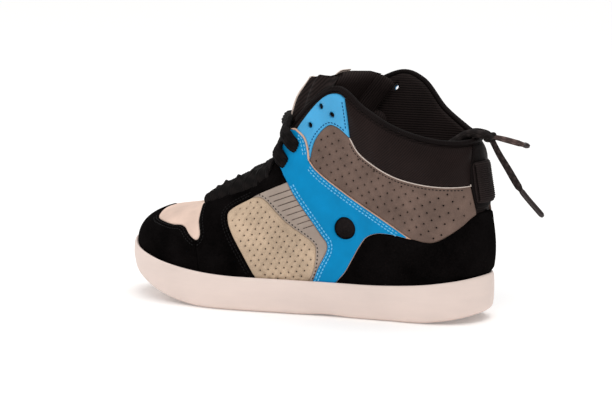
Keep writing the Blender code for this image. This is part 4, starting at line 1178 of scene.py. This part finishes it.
def make_upper():
    """Lining and wall of the upper: one hollow shell, thick and soft at the collar, bound along its rim."""
    u = np.arange(0, STATIONS, 1 / 8)
    v = np.linspace(0, TOP_LEVEL, 41)
    uv = np.stack(np.meshgrid(u, v), -1)
    collar = np.clip((v - PAD_START) / PAD_BLEND, 0, 1)[:, None]
    ankle = np.clip(PAD_END - np.minimum(u, STATIONS - u), 0, 1)[None]
    wall = UPPER_WALL + (COLLAR_WALL - UPPER_WALL) * collar * ankle
    rows, columns = uv.shape[:2]
    size, last = rows * columns, (rows - 1) * columns
    faces = grid_faces(rows, columns, True)
    faces += [face[::-1] for face in grid_faces(rows, columns, True, size)]
    for c in range(columns):
        d = (c + 1) % columns
        faces.append([last + c, size + last + c, size + last + d, last + d])
        faces.append([d, size + d, size + c, c])
    shell = np.stack((NET.at(uv), NET.at(uv, -wall)))
    punch_eyelets(add_piece("upper", shell, faces, LINING, "lining_fabric", ["upper"]))
    order = np.linspace(-BINDING_END, BINDING_END, 260)
    line = NET.at(np.column_stack((order, np.full(len(order), TOP_LEVEL))), -UPPER_WALL * 0.5)
    along = unit(np.gradient(line, axis=0))
    line = line + unit(UPRIGHT - along * along[:, 2:]) * BINDING_RADIUS
    section = oval(BINDING_RADIUS * 2.1, BINDING_RADIUS * 2.4, 14, 2.2)
    rod("collar_binding", line, UPRIGHT, section, BINDING_CLOTH, "black_webbing", ["collar_binding"])
    roll = even(spline(NET.at(np.array(ANKLE_ROLL), -COLLAR_WALL - 1.0), 12), 1.5)
    rod("ankle_roll", roll, UPRIGHT, oval(11, 9, 22, 2.0), TONGUE_CLOTH_LIGHTENED, "lining_fabric",
        girth=smooth(np.sin(np.linspace(0, pi, len(roll))), -0.3, 0.5))


def plan_ring(loop, inset, height):
    """A plan loop moved inwards, at a height that follows x."""
    along = unit(np.roll(loop, -1, 0) - np.roll(loop, 1, 0))
    plan = loop + np.stack((along[:, 1], -along[:, 0]), 1) * inset
    return np.column_stack((plan, height(plan[:, 0])))


def covered(rings):
    """Points and faces through plan rings, the first and last one covered across."""
    rings = np.asarray(rings)
    count, size = rings.shape[:2]
    faces = [face[::-1] for face in grid_faces(count, size, True)]
    for first, flip in ((0, False), ((count - 1) * size, True)):
        caps = [[first, first + 1, first + size - 1]]
        half = size // 2
        for i in range(1, half - 1):
            caps.append([first + i, first + i + 1, first + size - i - 1, first + size - i])
        caps.append([first + half - 1, first + half, first + half + 1])
        faces += [face[::-1] if flip else face for face in caps]
    return rings.reshape(-1, 3), faces


def make_sole():
    """Cup sole with a rounded rim, and the insole in it."""
    loop = spline(sole_loop(), 12, closed=True)
    lines = {"bottom": sole_bottom, "rim": sole_rim, "floor": cup_floor}
    sections = np.array([plan_ring(loop, inset, lines[line]) + (0, 0, up)
                         for _, inset, line, up in SOLE_SECTION])
    rings = spline(sections[:7].reshape(7, -1), 4).reshape(-1, len(loop), 3)
    recess = plan_ring(loop, TREAD_MARGIN, lambda x: sole_bottom(x) + LUG_DEPTH)
    ledge = plan_ring(loop, TREAD_MARGIN, sole_bottom)
    points, faces = covered(np.concatenate(([recess, ledge], rings, sections[7:])))
    add_piece("cupsole", points, faces, RUBBER, "rubber_sole", ["cupsole"])
    make_tread(loop)
    u = np.arange(0, STATIONS, 1 / 6)
    edge = NET.at(np.column_stack((u, 0 * u)), -UPPER_WALL - 0.6)[:, :2]
    top = INSOLE_BASE + INSOLE_THICK
    steps = ((0.4, INSOLE_BASE), (0, INSOLE_BASE + 1), (0, top - 1), (0.6, top - 0.3), (1.5, top))
    points, faces = covered([plan_ring(edge, inset, cup_floor) + (0, 0, up) for inset, up in steps])
    add_piece("insole", points, faces, INSOLE_CLOTH, "insole_cloth", ["insole"])


def make_tread(loop):
    """Zigzag lugs across the tread, parted by the grooves, their faces on the floor."""
    plan = plan_ring(loop, TREAD_MARGIN + 1.2, sole_bottom)
    half = len(plan) // 2
    outer, inner = plan[:half + 1], np.concatenate((plan[half:], plan[:1]))[::-1]
    tall = LUG_DEPTH + LUG_SUNK
    section = oval(LUG_WIDTH, tall, 16, 7.0)
    points, faces = [], []
    for x in np.arange(plan[:, 0].min() + 6, plan[:, 0].max() - 5, LUG_PITCH):
        high, low = np.interp(x, outer[:, 0], outer[:, 1]), np.interp(x, inner[:, 0], inner[:, 1])
        y = np.linspace(low + 3.5, high - 3.5, max(8, int((high - low) / 1.5)))
        along = x + LUG_SWING * (abs((y / LUG_STEP) % 2 - 1) * 2 - 1)
        path = np.column_stack((along, y, sole_bottom(along) + tall / 2))
        faces += tube_faces(len(path), len(section), len(points))
        points += sweep(path, FORWARD, section).reshape(-1, 3).tolist()
    add_piece("tread_lugs", points, faces, RUBBER, "rubber_sole")


def tongue_grid(per_level, columns):
    """Front face of the tongue: points, normals, thickness of each row, place of each column across."""
    rows = spline([row[1:] for row in TONGUE], per_level)
    across = np.linspace(-1, 1, columns)
    grid = np.array([[(x - back * s * s, half * s, z - drop * s * s) for s in across]
                     for x, z, half, back, drop, _ in rows])
    normals = unit(np.cross(np.gradient(grid, axis=1), np.gradient(grid, axis=0)))
    return grid, normals, rows[:, 5], across


def sheet_faces(rows, columns):
    """Faces of a closed sheet: a front grid, then a back grid of the same size."""
    size = rows * columns
    faces = [face[::-1] for face in grid_faces(rows, columns)] + grid_faces(rows, columns, start=size)
    for r in range(rows - 1):
        a, b = r * columns, (r + 1) * columns
        faces.append([a, b, size + b, size + a][::-1])
        a, b = a + columns - 1, b + columns - 1
        faces.append([a, b, size + b, size + a])
    for c in range(columns - 1):
        faces.append([c, c + 1, size + c + 1, size + c])
        a = (rows - 1) * columns + c
        faces.append([a, a + 1, size + a + 1, size + a][::-1])
    return faces


def make_tongue():
    """Padded tongue with upright folds beside the flap, its thin pale front layer and its edge tape."""
    grid, normals, thick, across = tongue_grid(9, 61)
    rows, columns = grid.shape[:2]
    up = np.linspace(0, 1, rows)[:, None]
    s = across[None]
    grid[..., 2] -= smooth(up, 0.7, 1) * np.interp(s, *zip(*TONGUE_TOP))
    round_top = np.sqrt(np.clip(1 - np.clip((up - 0.93) / 0.07, 0, 1) ** 2, 0.02, 1))
    plump = np.sqrt(np.clip(1 - s ** 4, 0.02, 1)) * round_top
    folds = 1.5 * np.sin(s * 21 + up * 6) * smooth(up, 0.45, 0.7) * smooth(s, 0.2, 0.4)
    folds = folds + 0.35 * np.sin(s * 7 + up * 16) * smooth(up, 0.4, 0.6)
    front = grid + normals * (folds - 1.2 + 1.2 * plump)[..., None]
    back = grid - normals * (thick[:, None] * plump * (1 + 0.06 * np.sin(s * 9 + up * 11)))[..., None]
    piece = add_piece("tongue", np.stack((front, back)), sheet_faces(rows, columns), TONGUE_CLOTH_LIGHTENED,
                      "tongue_fabric", ["tongue"])
    low, shown = rows * 48 // 100, (across > PALE_SPAN[0]) & (across < PALE_SPAN[1])
    face, facing = grid[low:, shown], normals[low:, shown]
    edge = np.abs(np.linspace(-1, 1, face.shape[1]))[None, :, None]
    lift = 0.5 + (TONGUE_FACE_THICK - 0.6) * (1 - edge ** 10)
    points = np.stack((face + facing * lift, face + facing * 0.2))
    points[..., 2] += smooth(up[low:], 0.88, 1) * np.interp(s[:, shown], *zip(*PALE_TOP))
    faces = sheet_faces(*face.shape[:2])
    add_piece("tongue_face", points, faces, TONGUE_PALE, "tongue_trim", ["tongue_face"])
    column, start = 2, rows * 6 // 10
    path = even((back[start:, column] + front[start:, column]) * 0.5, 1.2)
    tape = oval(TAPE_WIDTH, TAPE_THICK, 60, 2.4)
    tape[:, 1] *= 1 + 0.25 * np.cos(tape[:, 0] * 2 * pi / TAPE_RIB)
    width = unit(np.gradient(grid, axis=1)[-1, column])
    rod("tongue_edge_tape", path + TAPE_SHIFT, width, tape, TONGUE_CLOTH_LIGHTENED, "tongue_fabric")


def make_lace_bars():
    """Flat laces over the tongue, each end going down into its eyelet."""
    tongue, facing, _, _ = tongue_grid(12, 9)
    middle = 4
    for number, (station, eyelet, level, width, thick) in enumerate(LACE_BARS, 1):
        run = NET.at((station - 0.2, TOP_LEVEL)) - NET.at((station + 0.2, TOP_LEVEL))
        run[1] = 0
        run = unit(run)
        r = np.argmin(abs((tongue[:, middle] - NET.at((station, TOP_LEVEL))) @ run))
        flat = width > FLAT_BAR
        lift = RISE["lace_stay" if flat else "side_wing"] + thick / 2 - 0.2
        heights = (-1.5, lift * 0.5, lift, lift + 0.3, lift)
        ends = []
        for side in (1, -1):
            spots = [(side * (eyelet + (station - eyelet) * t) % STATIONS, level + (TOP_LEVEL - level) * t)
                     for t in (0, 0, 0.3, 0.65, 1)]
            ends.append([NET.at(spot, height) for spot, height in zip(spots, heights)])
        clear = thick / 2 + (0.4 if flat else TONGUE_FACE_THICK + 0.8)
        over = [tongue[r, k] + facing[r, k] * clear for k in (middle + 2, middle, middle - 2)]
        path = even(spline(ends[0] + over + ends[1][::-1], 8), 1.0)
        steps = np.minimum(np.arange(len(path)), np.arange(len(path))[::-1])
        girth = 0.85 + 0.15 * smooth(steps, 0, 8)
        section = oval(width, thick, 64, 3.0)
        section[:, 1] *= 1 + 0.15 * np.cos(section[:, 0] * 2 * pi / BAR_RIB)
        name = f"lace_bar_{number}"
        rod(name, path, run, section, LACE, "lace_cord", [name], girth)


def make_free_lace():
    """The two ends behind the collar: inner runs, and tails with their film-wrapped tips."""
    for name, points in LACE_RUNS.items():
        tail = name in AGLET_LENGTHS
        path = even(spline(points, 10), 1.2)
        run = run_along(path)
        round_section = oval(LACE_END_RADIUS * 2, LACE_END_RADIUS * 2, 14, 2.0)
        to_film = run[-1] - AGLET_LENGTHS.get(name, 0.0) - run
        girth = LACE_GIRTH[name] * np.ones(len(path))
        if tail:
            girth -= (girth - 0.95) * smooth(-to_film, -2.5, 0.5) + 0.25 * (1 - smooth(run, 0, run[-1] * 0.5))
        piece = rod(name, path, SIDEWAYS, round_section, LACE_FINISH[name], "lace_cord", [name], girth)
        if tail:
            film_path = path[to_film < 1.0]
            rod(name + "_tip", film_path, SIDEWAYS, round_section * 1.12, AGLET, "lace_cord")


def make_knot():
    """Round cord knotted on itself where the two ends meet."""
    angles = np.linspace(0, 2 * pi, 90, endpoint=False)
    turns = np.stack((-1.1 * np.sin(3 * angles), np.sin(angles) + 1.6 * np.sin(2 * angles),
                      np.cos(angles) - 1.6 * np.cos(2 * angles)), -1)
    path = KNOT_CENTRE + turns * KNOT_SPREAD
    along = unit(np.roll(path, -1, 0) - np.roll(path, 1, 0))
    outward = unit(path - KNOT_CENTRE + (0.01, 0, 0))
    points = sweep(path, np.cross(along, outward), oval(KNOT_CORD, KNOT_CORD, 10, 2.0), closed=True)
    rows, columns = points.shape[:2]
    add_piece("lace_knot", points, hoop_faces(rows, columns), LACE_DARK, "lace_cord", ["lace_knot"],
              uvs=strand_uvs(np.arange(rows) * 0.06, columns))


# Studio: sizes and places in metres
WHITE = (1, 1, 1, 1)
SKY_STRENGTH = 0.5
FLOOR_HALF = 6.0
FLOOR_COLOUR = (0.96, 0.95, 0.94, 1)
FLOOR_GLOW = 0.14
# Lights: name, kind, place, power, size or angle
LIGHTS = (
    ("key_light", "AREA", (-0.5, 1.5, 1.6), 12, {"size": 1.2}),
    ("toe_light", "AREA", (1.4, 0.9, 1.1), 5, {"size": 1.0}),
    ("top_light", "SUN", (-0.2, -0.4, 2.0), 1.3, {"angle": radians(50)}),
)


def add_item(name, data):
    """A camera, light or mesh put into the scene."""
    item = bpy.data.objects.new(name, data)
    bpy.context.scene.collection.objects.link(item)
    return item


def make_camera():
    """The photograph's camera."""
    turn, rise = radians(CAMERA_TURN), radians(CAMERA_RISE)
    away = Vector((-sin(turn) * cos(rise), cos(turn) * cos(rise), sin(rise)))
    camera = bpy.data.cameras.new("photo_camera")
    camera.sensor_width = SENSOR_WIDTH
    camera.lens = SENSOR_WIDTH * CAMERA_DISTANCE / (MM_PER_PIXEL * PHOTO_WIDTH)
    camera.shift_x = (PHOTO_WIDTH / 2 - AIM_PIXEL[0]) / PHOTO_WIDTH
    camera.shift_y = (AIM_PIXEL[1] - PHOTO_HEIGHT / 2) / PHOTO_WIDTH
    camera.clip_start, camera.clip_end = 0.05, 60
    item = add_item("photo_camera", camera)
    item.location = Vector(AIM_POINT) * MM + away * CAMERA_DISTANCE * MM
    item.rotation_euler = (-away).to_track_quat("-Z", "Y").to_euler()
    bpy.context.scene.camera = item


def make_world():
    """Soft light from all round, behind which the camera sees plain white."""
    world = bpy.data.worlds.new("studio")
    world.use_nodes = True
    world.node_tree.nodes.remove(world.node_tree.nodes["Background"])
    nodes = Nodes(world.node_tree)
    sky = nodes.node("ShaderNodeBackground", {}, {"Color": WHITE, "Strength": SKY_STRENGTH})
    white = nodes.node("ShaderNodeBackground", {}, {"Color": WHITE})
    seen = nodes.node("ShaderNodeLightPath", {}, {}, "Is Camera Ray")
    choice = nodes.node("ShaderNodeMixShader", {}, {"Fac": seen, 1: sky, 2: white})
    nodes.fill(world.node_tree.nodes["World Output"].inputs["Surface"], choice)
    bpy.context.scene.world = world


def make_studio():
    """Pale floor, soft light and the photograph's camera."""
    make_camera()
    bpy.context.scene.view_settings.view_transform = "Standard"
    make_world()
    corners = [(x * FLOOR_HALF, y * FLOOR_HALF, 0) for x, y in ((-1, -1), (1, -1), (1, 1), (-1, 1))]
    mesh = bpy.data.meshes.new("floor")
    mesh.from_pydata(corners, [], [(0, 1, 2, 3)])
    floor = Finish("floor_paper", 0.9, Base_Color=FLOOR_COLOUR, Emission_Color=WHITE,
                   Emission_Strength=FLOOR_GLOW)
    mesh.materials.append(floor.material)
    item = add_item("floor", mesh)
    for name, kind, place, power, spread in LIGHTS:
        light = bpy.data.lights.new(name, kind)
        light.energy = power
        for key, value in spread.items():
            setattr(light, key, value)
        item = add_item(name, light)
        item.location = place
        item.rotation_euler = (Vector(AIM_POINT) * MM - Vector(place)).to_track_quat("-Z", "Y").to_euler()


make_studio()
make_free_lace()
make_knot()
make_upper()
make_sole()
make_tongue()
make_side_panels()
make_toe()
make_heel()
make_pull_loop()
make_lace_bars()
